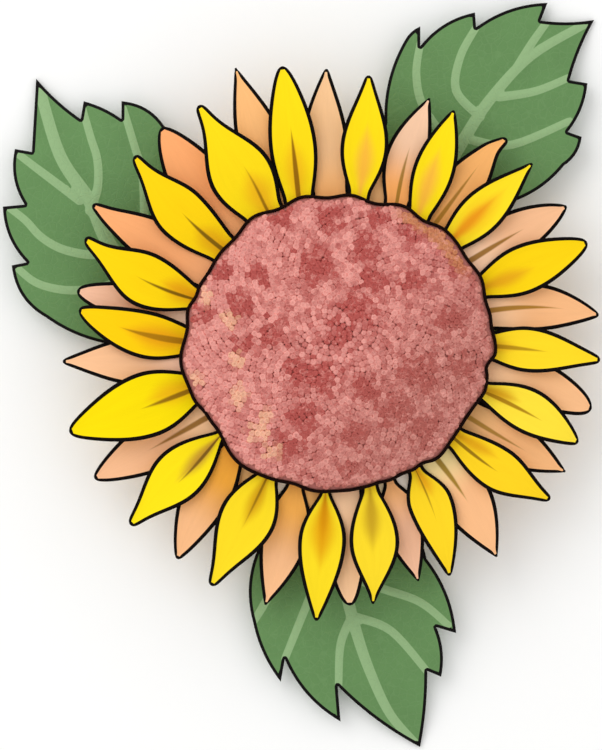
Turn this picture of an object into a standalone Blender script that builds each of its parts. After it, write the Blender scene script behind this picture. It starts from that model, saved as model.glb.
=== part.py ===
"""A sunflower seed head with its petals, bracts and three leaves, cut with a short stem stub and
lying face up on a flat surface.

Metres, +Z up. The head's axis is vertical. Everything is modelled about that axis with z = 0 on the
surface, and the last step moves the whole head so that the origin is the bottom centre of its box.
Tables and formulas below are in millimetres and degrees; MM turns them into metres.
"""

import math
from dataclasses import dataclass

import bmesh
import bpy
from mathutils import Vector

MM = 0.001
GAP = 0.3  # between neighbours that touch on the real head

# Heights above the surface, from the stem's cut end to the disc
STEM_RADIUS = 12.0
STEM_TOP = 13.0
CUP_START_RADIUS = 17.0
CUP_START_HEIGHT = 17.0
CUP_POWER = 1.25
CUP_RINGS = 6
LEDGE_HEIGHT = 30.0
LEDGE_RADIUS = 70.5
LEDGE_LIP = 0.7
PLATEAU_HEIGHT = 36.0
PLATEAU_RADIUS = 62.0
STEM_CHAMFER = 1.0
CUP_STEPS = 48

# Seed disc: a low dome with a wavy rim, in plan a little wider than it is high
DISC_RADIUS = 75.6
DISC_STRETCH = 2.0
DISC_LEFT_SHIFT = 0.8
DISC_WAVES = 18
DISC_WAVE_HEIGHT = 1.1
DISC_SWELLS = (  # where the rim grew unevenly: angle, rise, and spread in degrees
    (80, -1.5, 8), (146, -3.0, 9), (193, 2.8, 8), (234, 4.5, 8), (257, 2.5, 6), (313, 1.5, 5),
    (326, -3.3, 7), (346, -2.0, 4), (355, 2.3, 5),
)
DISC_DOME_INSET = 4.0  # how far inside the rim the dome turns down
DISC_EDGE_INSET = 5.0  # how far inside the rim the flat underside ends
DISC_EDGE_DROP = 2.5
DISC_EDGE_RISE = 3.0  # height of the widest line above the underside
DISC_STEPS = 72
DISC_CROWN = 53.0
DISC_SHOULDER = 44.0
DISC_DIMPLE = 1.2
DISC_RINGS = 6

# Ray petals
PETAL_INNER = 64.0
PETAL_THICKNESS = 1.0
PETAL_LAYER = 1.4  # height from one petal layer to the next, four layers in all
LIFT_START = 81.5
LIFT_RANGE = 56.0
FRONT_LIFT = 8.0
BACK_LIFT = 2.5
UPPER_LIFT = 1.5  # more for the upper of two neighbours
DROOP_START = 105.0
PETAL_DROOP = 4.5
PETAL_CUP = 0.8
PETAL_COLUMNS = 4
PETAL_ROWS = 8
HOOK_START = 0.8  # share of the length from which a tip turns aside
NARROWEST_TIP = 0.35

# Bracts under the petals
BRACT_COUNT = 18
BRACT_INNER = 50.0
BRACT_REACH = 97.0
BRACT_WIDTH = 21.0
BRACT_THICKNESS = 1.0
BRACT_LAYER = 1.4
BRACT_DROOP = 1.5
BRACT_COLUMNS = 3
BRACT_ROWS = 5

# Leaves
LEAF_THICKNESS = 1.4
LEAF_BASE_HEIGHT = 13.0
LEAF_HUMP = 3.0
LEAF_FOLD = 0.12
LEAF_ARCH = 0.0025
LEAF_CELL = 11.0
LEAF_MARGIN_STEP = 7.0
PETIOLE_RADIUS = 3.2
PETIOLE_HEIGHT = 7.5
RIB_END_SHARE = 0.72
RIB_END_SIZE = 0.35
TUBE_SIDES = 2  # bevel_resolution of the leaf stalks
STALK_RESOLUTION = 4

SMOOTH_ANGLE = math.radians(40)


@dataclass(frozen=True)
class Petal:
    """One ray petal: where it starts and ends round the head, and the form of its outline."""

    base_angle: float
    tip_angle: float
    reach: float
    width: float
    belly: float = 0.38  # where the petal is widest, as a share of its length outside the disc
    base: float = 0.55  # width at the disc's edge, as a share of the full width
    taper: float = 1.05
    blunt: float = 0.14  # width kept at the tip before it rounds off
    bow: float = 0.0  # how far the middle bends to the anticlockwise side
    hook: float = 0.0  # how far the tip turns to the anticlockwise side

    def half_width(self, along):
        """Half the petal's width at a share of its length. Under the disc it keeps its base width."""
        hidden = (DISC_RADIUS - PETAL_INNER) / (self.reach - PETAL_INNER)
        shown = max(0.0, (along - hidden) / (1 - hidden))
        if shown < self.belly:
            swell = math.sin(shown / self.belly * math.pi / 2)
            return self.width / 2 * (self.base + (1 - self.base) * swell)
        past = (shown - self.belly) / (1 - self.belly)
        narrowing = max(0.0, math.cos(past * math.pi / 2)) ** self.taper
        rounding = math.sqrt(max(0.0, 1 - past**14))
        share = (self.blunt + (1 - self.blunt) * narrowing) * rounding
        return max(NARROWEST_TIP, self.width / 2 * share)

    def spot(self, across, along):
        """The place on the petal, seen from above. across runs from 0 on the left to 1 on the right."""
        start = polar(PETAL_INNER, self.base_angle)
        line = polar(self.reach, self.tip_angle) - start
        left = Vector((-line.y, line.x)).normalized()
        turned = max(0.0, (along - HOOK_START) / (1 - HOOK_START))
        middle = self.bow * 4 * along * (1 - along) + self.hook * (turned * turned * (3 - 2 * turned)) ** 2
        return start + line * along + left * (middle + (1 - 2 * across) * self.half_width(along))


FRONT_PETALS = (
    Petal(21, 22, 133, 24, belly=0.40, base=0.47, taper=1.1, blunt=0.25),
    Petal(42, 43, 131, 21, belly=0.35, base=0.60, taper=1.3, blunt=0.10),
    Petal(57.5, 64, 129, 20, belly=0.40, base=0.50, blunt=0.10),
    Petal(83, 84, 134, 23, base=0.44, taper=1.5, blunt=0.18, bow=-1),
    Petal(107, 102, 141, 23, base=0.50, blunt=0.25, bow=-1),
    Petal(120.5, 121, 138, 32, belly=0.34, base=0.60, taper=2.3, blunt=0.18),
    Petal(141, 138, 139, 26, belly=0.42, base=0.60, taper=2.3, blunt=0.22, bow=4),
    Petal(163, 158, 138, 27, belly=0.42, base=0.42, taper=2.3, blunt=0.22, bow=5),
    Petal(180.5, 173, 132, 23, belly=0.36, base=0.60, blunt=0.25, bow=4),
    Petal(197, 198.4, 143, 32, base=0.45, taper=1.15, blunt=0.22),
    Petal(218, 220, 139.5, 26, belly=0.45, base=0.15, taper=1.9, blunt=0.22, bow=0.5),
    Petal(242, 242, 138, 28, belly=0.38, base=0.45, taper=1.8, blunt=0.20),
    Petal(264, 265, 140, 23, base=0.15, taper=1.2),
    Petal(282, 277, 132, 24, belly=0.45, base=0.32, taper=1.5, blunt=0.08, bow=2),
    Petal(300, 295, 129, 22, base=0.58, taper=1.15, bow=3),
    Petal(320, 323, 131, 22, belly=0.45, base=0.52, taper=1.7, blunt=0.20, bow=-2),
    Petal(341, 337, 129, 22, belly=0.45, base=0.42, taper=1.1, blunt=0.20, bow=3),
    Petal(359, 356, 130, 22, belly=0.33, base=0.62, taper=1.15, bow=1),
)

BACK_PETALS = (
    Petal(12, 6, 130, 23, base=0.80, bow=4),
    Petal(32, 31, 132, 23, base=0.80, taper=0.85, blunt=0.10, bow=1),
    Petal(51, 51.8, 130.5, 21, belly=0.42, base=0.80, taper=1.8, blunt=0.20, hook=-4),
    Petal(70, 70, 130, 21, base=0.90, blunt=0.06, bow=3),
    Petal(93, 93, 137, 22, base=0.80, taper=1.2, blunt=0.12, bow=2.5),
    Petal(112, 111, 147, 23.5, base=0.80, taper=1.15, blunt=0.05, bow=1),
    Petal(132, 130, 140, 28, belly=0.42, base=0.70, taper=0.95, blunt=0.20, bow=2.5),
    Petal(152, 151.5, 142, 23, base=0.80, taper=1.4, blunt=0.20, hook=-1),
    Petal(171, 169, 134.5, 21, base=0.80, blunt=0.30),
    Petal(188, 184, 139.5, 24, base=0.80, taper=1.3),
    Petal(209, 209, 141, 26, base=0.75, blunt=0.20),
    Petal(229, 233, 136, 24, base=0.80, blunt=0.16, bow=-4.5),
    Petal(252, 254, 137, 23.5, base=0.80, blunt=0.06, bow=1.5),
    Petal(272, 272, 132, 21, base=0.80, blunt=0.30, bow=-1),
    Petal(290, 288, 126, 21, base=0.80, blunt=0.06),
    Petal(309, 306, 133, 26, base=0.75, blunt=0.05, bow=3),
    Petal(330, 330, 130, 23, base=0.80, blunt=0.05, bow=-1),
    Petal(349, 345, 130, 23, base=0.80, taper=0.9, blunt=0.30, bow=3),
)


@dataclass(frozen=True)
class Leaf:
    """One leaf. The margin runs clockwise from the tip; each point has the bulge of the arc after it."""

    name: str
    margin: tuple
    midrib: tuple  # from the blade's base to its tip
    stalk: tuple  # from the stem to the blade's base


LEAVES = (
    Leaf(
        "leaf_upper_left",
        margin=(
            (-153, 132.5, -1), (-130.5, 112, 0), (-129, 121, 1), (-110, 112, 0), (-110, 121, 3),
            (-88.5, 108.5, 3), (-74, 82, 3), (-74, 48, 2), (-93, 18, 1), (-116, -1, 2),
            (-148, 12.5, 4), (-165, 38.5, 0), (-157.5, 40, 3), (-169.5, 68, 0), (-158.5, 69, 3),
            (-163.5, 97, 0), (-155, 95.5, 0),
        ),
        midrib=((-95, 20), (-116, 49), (-126, 71), (-141, 94), (-152, 130)),
        stalk=((-12.5, -3), (-40, -7), (-70, -3), (-87, 8)),
    ),
    Leaf(
        "leaf_upper_right",
        margin=(
            (127.5, 162, -1), (115, 131.5, 0), (124, 130, 2), (114, 105.5, 0), (121, 103, 2),
            (112, 88.5, 2), (88, 71, 2), (62, 60, 2), (41, 67, 2), (24, 84, 3), (22, 110, 3),
            (32, 151, 1), (40, 158.5, 0), (40, 148.5, 3), (67.5, 165.5, 0), (68, 158, 3),
            (104, 170.5, 0), (100.5, 161.5, -1),
        ),
        midrib=((44, 70), (62, 102), (76, 123), (96, 144), (125, 161)),
        stalk=((5, 11.5), (15, 32), (29, 52), (37, 61)),
    ),
    Leaf(
        "leaf_bottom",
        margin=(
            (40, -203.5, 2), (-1.5, -172.5, 0), (0, -190.5, 3.5), (-28, -159, 0), (-30, -170.5, 2),
            (-44, -140, 3), (-42, -105, 4), (-24, -88, 3), (2, -84, 3), (30, -91, 3),
            (43, -108.5, 3), (58, -146, 0), (48, -143, 2), (50.5, -168, 0), (43.5, -165, 1),
        ),
        midrib=((0, -90), (2, -120), (9, -144), (19, -166), (38, -202)),
        stalk=((0, -12.5), (-3, -35), (-4, -60), (-2, -80)),
    ),
)

COLOURS = {  # base colour, roughness
    "seed_disc": ((0.52, 0.17, 0.14), 0.75),
    "ray_petal_front": ((0.98, 0.69, 0.02), 0.55),
    "ray_petal_back": ((0.93, 0.48, 0.20), 0.55),
    "receptacle": ((0.22, 0.34, 0.10), 0.65),
    "bract": ((0.17, 0.30, 0.09), 0.65),
    "leaf": ((0.13, 0.27, 0.09), 0.60),
}


def polar(radius, degrees):
    """A point in plan at an angle counted anticlockwise from +X."""
    angle = math.radians(degrees)
    return Vector((radius * math.cos(angle), radius * math.sin(angle)))


def cup_height(radius):
    """Height of the receptacle's underside, which flares from the stem out to the ledge."""
    share = (radius - CUP_START_RADIUS) / (LEDGE_RADIUS - CUP_START_RADIUS)
    rise = LEDGE_HEIGHT - LEDGE_LIP - CUP_START_HEIGHT
    return CUP_START_HEIGHT + rise * max(0.0, share) ** CUP_POWER


def disc_outline(angle):
    """Radius of the disc's wavy rim at an angle in radians, as a share of its mean radius."""
    radius = DISC_RADIUS + DISC_STRETCH * math.cos(2 * angle) - DISC_LEFT_SHIFT * math.cos(angle)
    for place, rise, spread in DISC_SWELLS:
        off = (math.degrees(angle) - place + 180) % 360 - 180
        radius += rise * math.exp(-((off / spread) ** 2))
    return (radius + DISC_WAVE_HEIGHT * math.sin(DISC_WAVES * angle)) / DISC_RADIUS


def clear_scene():
    """Empties the scene that Blender starts with."""
    for item in list(bpy.data.objects):
        bpy.data.objects.remove(item)


def new_collection(name, hidden=False):
    """A collection under the scene's own, left out of renders if it holds only helpers."""
    made = bpy.data.collections.new(name)
    made.hide_render = hidden
    bpy.context.scene.collection.children.link(made)
    return made


def make_material(kind):
    """A Principled BSDF with the finish of one kind of piece."""
    colour, roughness = COLOURS[kind]
    made = bpy.data.materials.get(kind) or bpy.data.materials.new(kind)
    made.use_nodes = True
    shader = made.node_tree.nodes["Principled BSDF"]
    shader.inputs["Base Color"].default_value = (*colour, 1.0)
    shader.inputs["Roughness"].default_value = roughness
    shader.inputs["Metallic"].default_value = 0.0
    made.diffuse_color = (*colour, 1.0)
    return made


def add_piece(name, mesh, collection, kind, parent):
    """Links a mesh as one named piece of the head."""
    piece = bpy.data.objects.new(name, mesh)
    collection.objects.link(piece)
    piece.parent = parent
    mesh.materials.clear()
    mesh.materials.append(make_material(kind))
    return piece


def add_helper(name, mesh, collection, parent):
    """Links a mesh that only cuts or joins, and that is no piece itself."""
    helper = bpy.data.objects.new(name, mesh)
    collection.objects.link(helper)
    helper.parent = parent
    helper.hide_render = True
    helper.display_type = "WIRE"
    return helper


def solidify(piece, thickness):
    """Gives a sheet its thickness below the surface that was modelled."""
    wall = piece.modifiers.new("Thickness", "SOLIDIFY")
    wall.thickness = thickness * MM
    wall.offset = -1
    wall.use_even_offset = False


def sheet_mesh(name, columns, rows, place):
    """A grid whose vertex at (across, along), both from 0 to 1, goes to place(across, along) in mm."""
    mesh = bpy.data.meshes.new(name)
    grid = bmesh.new()
    bmesh.ops.create_grid(grid, x_segments=columns, y_segments=rows, size=0.5)
    for vertex in grid.verts:
        vertex.co = place(vertex.co.x + 0.5, vertex.co.y + 0.5) * MM
    grid.to_mesh(mesh)
    grid.free()
    mesh.shade_smooth()
    return mesh


def turned_mesh(name, profile, steps):
    """Turns a profile of (radius, height) in mm that runs from the axis at the top out and back below."""
    line = bpy.data.meshes.new(name + "_profile")
    points = [(radius * MM, 0, height * MM) for radius, height in profile]
    line.from_pydata(points, [(i, i + 1) for i in range(len(points) - 1)], [])
    holder = bpy.data.objects.new(name + "_profile", line)
    bpy.context.scene.collection.objects.link(holder)
    turn = holder.modifiers.new("Turn", "SCREW")
    turn.steps = turn.render_steps = steps
    turn.use_merge_vertices = True
    turn.merge_threshold = 0.00001
    graph = bpy.context.evaluated_depsgraph_get()
    mesh = bpy.data.meshes.new_from_object(holder.evaluated_get(graph))
    bpy.data.objects.remove(holder)
    mesh.shade_smooth()
    mesh.set_sharp_from_angle(angle=SMOOTH_ANGLE)
    return mesh


def curve_mesh(curve):
    """The mesh of a curve with its caps welded to its sides."""
    holder = bpy.data.objects.new(curve.name, curve)
    bpy.context.scene.collection.objects.link(holder)
    graph = bpy.context.evaluated_depsgraph_get()
    mesh = bpy.data.meshes.new_from_object(holder.evaluated_get(graph))
    bpy.data.objects.remove(holder)
    welded = bmesh.new()
    welded.from_mesh(mesh)
    bmesh.ops.remove_doubles(welded, verts=welded.verts, dist=0.000001)
    bmesh.ops.recalc_face_normals(welded, faces=welded.faces)
    welded.to_mesh(mesh)
    welded.free()
    return mesh


def make_receptacle(collection, parent):
    """The green cup that holds petals and disc, and the stub of stem that grew with it."""
    rings = [
        LEDGE_RADIUS + (CUP_START_RADIUS - LEDGE_RADIUS) * step / CUP_RINGS for step in range(CUP_RINGS + 1)
    ]
    profile = [
        (0, PLATEAU_HEIGHT), (PLATEAU_RADIUS, PLATEAU_HEIGHT), (PLATEAU_RADIUS, LEDGE_HEIGHT),
        (LEDGE_RADIUS, LEDGE_HEIGHT),
    ]
    profile += [(radius, cup_height(radius)) for radius in rings]
    profile += [
        (STEM_RADIUS, STEM_TOP), (STEM_RADIUS, STEM_CHAMFER), (STEM_RADIUS - STEM_CHAMFER, 0), (0, 0),
    ]
    mesh = turned_mesh("receptacle", profile, CUP_STEPS)
    return add_piece("receptacle", mesh, collection, "receptacle", parent)


def make_disc(collection, parent):
    """The seed disc, turned as a low dome with a shallow dimple and then given its wavy rim."""
    underside = PLATEAU_HEIGHT + GAP
    profile = []
    for ring in range(DISC_RINGS + 1):
        share = ring / DISC_RINGS
        dome = DISC_SHOULDER + (DISC_CROWN - DISC_SHOULDER) * math.cos(share * math.pi / 2)
        profile.append((share * (DISC_RADIUS - DISC_DOME_INSET), dome - DISC_DIMPLE * (1 - share) ** 2))
    profile += [
        (DISC_RADIUS - 1, DISC_SHOULDER - DISC_EDGE_DROP), (DISC_RADIUS, underside + DISC_EDGE_RISE),
        (DISC_RADIUS - 1.5, underside + 1), (DISC_RADIUS - DISC_EDGE_INSET, underside), (0, underside),
    ]
    mesh = turned_mesh("seed_disc", profile, DISC_STEPS)
    for vertex in mesh.vertices:
        share = disc_outline(math.atan2(vertex.co.y, vertex.co.x))
        vertex.co.x *= share
        vertex.co.y *= share
    return add_piece("seed_disc", mesh, collection, "seed_disc", parent)


def make_petal(name, petal, layer, lift, kind, collection, parent):
    """One petal, its root between receptacle and disc, its blade arched up and then drooping."""
    root_height = LEDGE_HEIGHT + GAP + PETAL_THICKNESS + layer * PETAL_LAYER
    full_lift = lift + UPPER_LIFT * (layer % 2)

    def place(across, along):
        spot = petal.spot(across, along)
        out = min(1.0, max(0.0, (spot.length - LIFT_START) / LIFT_RANGE))
        past = max(0.0, (spot.length - DROOP_START) / (petal.reach - DROOP_START))
        arch = full_lift * math.sin(out * math.pi / 2) - PETAL_DROOP * past**2
        cup = PETAL_CUP * (1 - 2 * across) ** 2 * min(1.0, 3 * out)
        return Vector((spot.x, spot.y, root_height + arch + cup))

    mesh = sheet_mesh(name, PETAL_COLUMNS, PETAL_ROWS, place)
    piece = add_piece(name, mesh, collection, kind, parent)
    solidify(piece, PETAL_THICKNESS)
    return piece


def make_petals(collection, parent):
    """Both rings of petals. Neighbours lie on layers of their own, so that they overlap without touching."""
    for number, petal in enumerate(BACK_PETALS):
        name = f"ray_petal_back_{number + 1:02d}"
        make_petal(name, petal, number % 2, BACK_LIFT, "ray_petal_back", collection, parent)
    for number, petal in enumerate(FRONT_PETALS):
        name = f"ray_petal_front_{number + 1:02d}"
        make_petal(name, petal, 2 + number % 2, FRONT_LIFT, "ray_petal_front", collection, parent)


def make_bracts(collection, parent):
    """Green pointed bracts on the outside of the receptacle, behind the petals."""
    for number in range(BRACT_COUNT):
        outline = Petal(0, 0, BRACT_REACH, BRACT_WIDTH, belly=0.3, base=0.85, blunt=0.04)
        turn = 360 * (number + 0.5) / BRACT_COUNT
        heading = polar(1, turn)
        left = Vector((-heading.y, heading.x))

        def place(across, along):
            out = BRACT_INNER + (BRACT_REACH - BRACT_INNER) * along
            spot = heading * out + left * ((1 - 2 * across) * outline.half_width(along))
            past = max(0.0, spot.length - LEDGE_RADIUS) / (BRACT_REACH - LEDGE_RADIUS)
            height = cup_height(min(spot.length, LEDGE_RADIUS)) - BRACT_DROOP * past**2
            return Vector((spot.x, spot.y, height - GAP - (number % 2) * BRACT_LAYER))

        name = f"bract_{number + 1:02d}"
        mesh = sheet_mesh(name, BRACT_COLUMNS, BRACT_ROWS, place)
        piece = add_piece(name, mesh, collection, "bract", parent)
        solidify(piece, BRACT_THICKNESS)


def arc_points(start, end, bulge):
    """Points from start up to but not including end, on an arc that stands out by bulge to the left."""
    chord = end - start
    count = max(1, round(chord.length / LEAF_MARGIN_STEP)) if bulge else 1
    outward = Vector((-chord.y, chord.x)).normalized()
    shares = [step / count for step in range(count)]
    return [start + chord * share + outward * (bulge * 4 * share * (1 - share)) for share in shares]


def leaf_height(leaf, spot):
    """Height of the blade's upper face: humped along the midrib, arched on each side, down at the tip."""
    base = Vector(leaf.midrib[0])
    line = Vector(leaf.midrib[-1]) - base
    along = min(1.0, max(-0.1, (spot - base).dot(line) / line.length_squared))
    sideways = abs((spot - base).dot(Vector((-line.y, line.x)).normalized()))
    middle = LEAF_BASE_HEIGHT * (1 - along * abs(along)) + LEAF_HUMP * math.sin(math.pi * along)
    arch = LEAF_FOLD * sideways - LEAF_ARCH * sideways**2
    return LEAF_THICKNESS + max(0.0, middle + arch)


def make_leaf(leaf, collection, cutters, parent):
    """A blade cut to its toothed margin out of a curved sheet, joined to its stalk and midrib."""
    base = Vector(leaf.midrib[0])
    forward = (Vector(leaf.midrib[-1]) - base).normalized()
    right = Vector((forward.y, -forward.x))
    local = [((Vector(p[:2]) - base).dot(right), (Vector(p[:2]) - base).dot(forward)) for p in leaf.margin]
    border = LEAF_CELL
    low = Vector((min(p[0] for p in local) - border, min(p[1] for p in local) - border))
    size = Vector((max(p[0] for p in local) + border, max(p[1] for p in local) + border)) - low

    def place(across, along):
        spot = base + right * (low.x + size.x * across) + forward * (low.y + size.y * along)
        return Vector((spot.x, spot.y, leaf_height(leaf, spot)))

    columns, rows = round(size.x / LEAF_CELL), round(size.y / LEAF_CELL)
    piece = add_piece(leaf.name, sheet_mesh(leaf.name, columns, rows, place), collection, "leaf", parent)
    solidify(piece, LEAF_THICKNESS)

    margin = [Vector(p[:2]) for p in leaf.margin]
    outline = []
    for number, point in enumerate(margin):
        outline += arc_points(point, margin[(number + 1) % len(margin)], leaf.margin[number][2])
    flat = bpy.data.curves.new(leaf.name + "_margin", "CURVE")
    flat.dimensions = "2D"
    flat.fill_mode = "BOTH"
    flat.extrude = 2 * (LEAF_BASE_HEIGHT + LEAF_HUMP) * MM
    spline = flat.splines.new("POLY")
    spline.points.add(len(outline) - 1)
    spline.use_cyclic_u = True
    for point, spot in zip(spline.points, outline):
        point.co = (spot.x * MM, spot.y * MM, 0, 1)
    cutter = add_helper(leaf.name + "_margin_cutter", curve_mesh(flat), cutters, parent)
    trim = piece.modifiers.new("Margin", "BOOLEAN")
    trim.operation = "INTERSECT"
    trim.object = cutter

    stalk = add_helper(leaf.name + "_stalk", stalk_mesh(leaf), cutters, parent)
    join = piece.modifiers.new("Stalk", "BOOLEAN")
    join.operation = "UNION"
    join.object = stalk
    return piece


def stalk_mesh(leaf):
    """The leaf's stalk as a tube that climbs to the blade and runs on under it as a thinning midrib."""
    base, tip = Vector(leaf.midrib[0]), Vector(leaf.midrib[-1])
    blade_height = leaf_height(leaf, base) - PETIOLE_RADIUS
    route = []
    for number, spot in enumerate(leaf.stalk):
        climb = (blade_height - PETIOLE_HEIGHT) * (number / len(leaf.stalk)) ** 2
        route.append(Vector((*spot, PETIOLE_HEIGHT + climb)))
    rib_reach = RIB_END_SHARE * (tip - base).length
    for spot in map(Vector, leaf.midrib):
        if (spot - base).length <= rib_reach:
            route.append(Vector((*spot, leaf_height(leaf, spot) - PETIOLE_RADIUS)))
    tube = bpy.data.curves.new(leaf.name + "_stalk", "CURVE")
    tube.dimensions = "3D"
    tube.resolution_u = STALK_RESOLUTION
    tube.bevel_depth = PETIOLE_RADIUS * MM
    tube.bevel_resolution = TUBE_SIDES
    tube.use_fill_caps = True
    spline = tube.splines.new("BEZIER")
    spline.bezier_points.add(len(route) - 1)
    for number, (point, spot) in enumerate(zip(spline.bezier_points, route)):
        under_blade = max(0, number - len(leaf.stalk) + 1) / (len(route) - len(leaf.stalk))
        point.co = spot * MM
        point.handle_left_type = point.handle_right_type = "AUTO"
        point.radius = 1 - (1 - RIB_END_SIZE) * under_blade
    return curve_mesh(tube)


def centre_on_origin(root, collection):
    """Moves the head so that the origin is the bottom centre of the box round all its pieces."""
    bpy.context.view_layer.update()
    graph = bpy.context.evaluated_depsgraph_get()
    corners = []
    for piece in collection.objects:
        evaluated = piece.evaluated_get(graph)
        if evaluated.type == "MESH":
            corners += [evaluated.matrix_world @ vertex.co for vertex in evaluated.data.vertices]
    low = Vector([min(c[axis] for c in corners) for axis in range(3)])
    high = Vector([max(c[axis] for c in corners) for axis in range(3)])
    root.location = -Vector(((low.x + high.x) / 2, (low.y + high.y) / 2, low.z))


def main():
    """Builds the whole seed head."""
    clear_scene()
    pieces = new_collection("sunflower_seed_head")
    cutters = new_collection("cutters", hidden=True)
    root = bpy.data.objects.new("sunflower_seed_head_root", None)
    pieces.objects.link(root)
    make_receptacle(pieces, root)
    make_disc(pieces, root)
    make_petals(pieces, root)
    make_bracts(pieces, root)
    for leaf in LEAVES:
        make_leaf(leaf, pieces, cutters, root)
    centre_on_origin(root, pieces)


main()
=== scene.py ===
"""Looks of the sunflower head: seed disc, two rings of ray petals, green cup, bracts and three leaves.

Lengths in tables and fields are millimetres about the head's own upright axis, with z = 0 on the
surface that the head lies on. MM turns them into metres. Angles are degrees, anticlockwise from +X.
"""

import logging
import math
import random
from collections.abc import Callable, Iterable, Sequence
from dataclasses import dataclass
from enum import Enum

import bmesh
import bpy
import numpy as np
from mathutils import Matrix, Vector, noise


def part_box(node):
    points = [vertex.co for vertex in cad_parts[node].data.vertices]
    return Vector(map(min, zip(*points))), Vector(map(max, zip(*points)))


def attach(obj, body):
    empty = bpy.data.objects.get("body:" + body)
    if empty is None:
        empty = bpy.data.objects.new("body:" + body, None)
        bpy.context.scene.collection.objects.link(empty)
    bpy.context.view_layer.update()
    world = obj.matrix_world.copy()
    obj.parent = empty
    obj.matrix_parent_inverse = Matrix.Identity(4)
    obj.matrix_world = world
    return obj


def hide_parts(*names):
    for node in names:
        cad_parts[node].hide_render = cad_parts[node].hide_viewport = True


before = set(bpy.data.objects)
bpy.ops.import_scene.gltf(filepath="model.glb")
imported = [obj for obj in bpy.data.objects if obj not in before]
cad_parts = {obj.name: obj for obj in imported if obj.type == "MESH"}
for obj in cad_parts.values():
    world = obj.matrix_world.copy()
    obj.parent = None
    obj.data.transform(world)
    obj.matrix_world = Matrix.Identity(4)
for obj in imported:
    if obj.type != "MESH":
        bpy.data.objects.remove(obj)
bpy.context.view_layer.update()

LOG = logging.getLogger("sunflower")
MM = 0.001

Colour = tuple[float, float, float, float]
Socket = bpy.types.NodeSocket
Value = float | Socket


class Slot(Enum):
    """The record's material slots."""

    FLORETS = "disc_florets"
    YELLOW = "petal_yellow"
    PEACH = "petal_peach"
    LEAF = "leaf_green"
    BRACT = "bract_green"
    CUP = "receptacle_skin"


def shade(code: str) -> Colour:
    """The linear colour of a six-digit sRGB code."""
    channels = [int(code[i : i + 2], 16) / 255 for i in (0, 2, 4)]
    linear = [c / 12.92 if c <= 0.04045 else ((c + 0.055) / 1.055) ** 2.4 for c in channels]
    return (*linear, 1.0)


def blend_of(one: Sequence[float], other: Sequence[float], share: float) -> tuple[float, ...]:
    """The mix of two colours, all the first at share 0 and all the second at 1."""
    return tuple(a + (b - a) * share for a, b in zip(one, other))


def polar(radius: float, degrees: float) -> Vector:
    """A point in plan, in millimetres, at an angle about the head's axis."""
    angle = math.radians(degrees)
    return Vector((radius * math.cos(angle), radius * math.sin(angle)))


def ease(value: float, low: float, high: float) -> float:
    """A smooth step from 0 at low to 1 at high."""
    share = min(1.0, max(0.0, (value - low) / (high - low)))
    return share * share * (3 - 2 * share)


# ---------------------------------------------------------------------------------------------
# The bench: modelling moves that every piece uses


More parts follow.
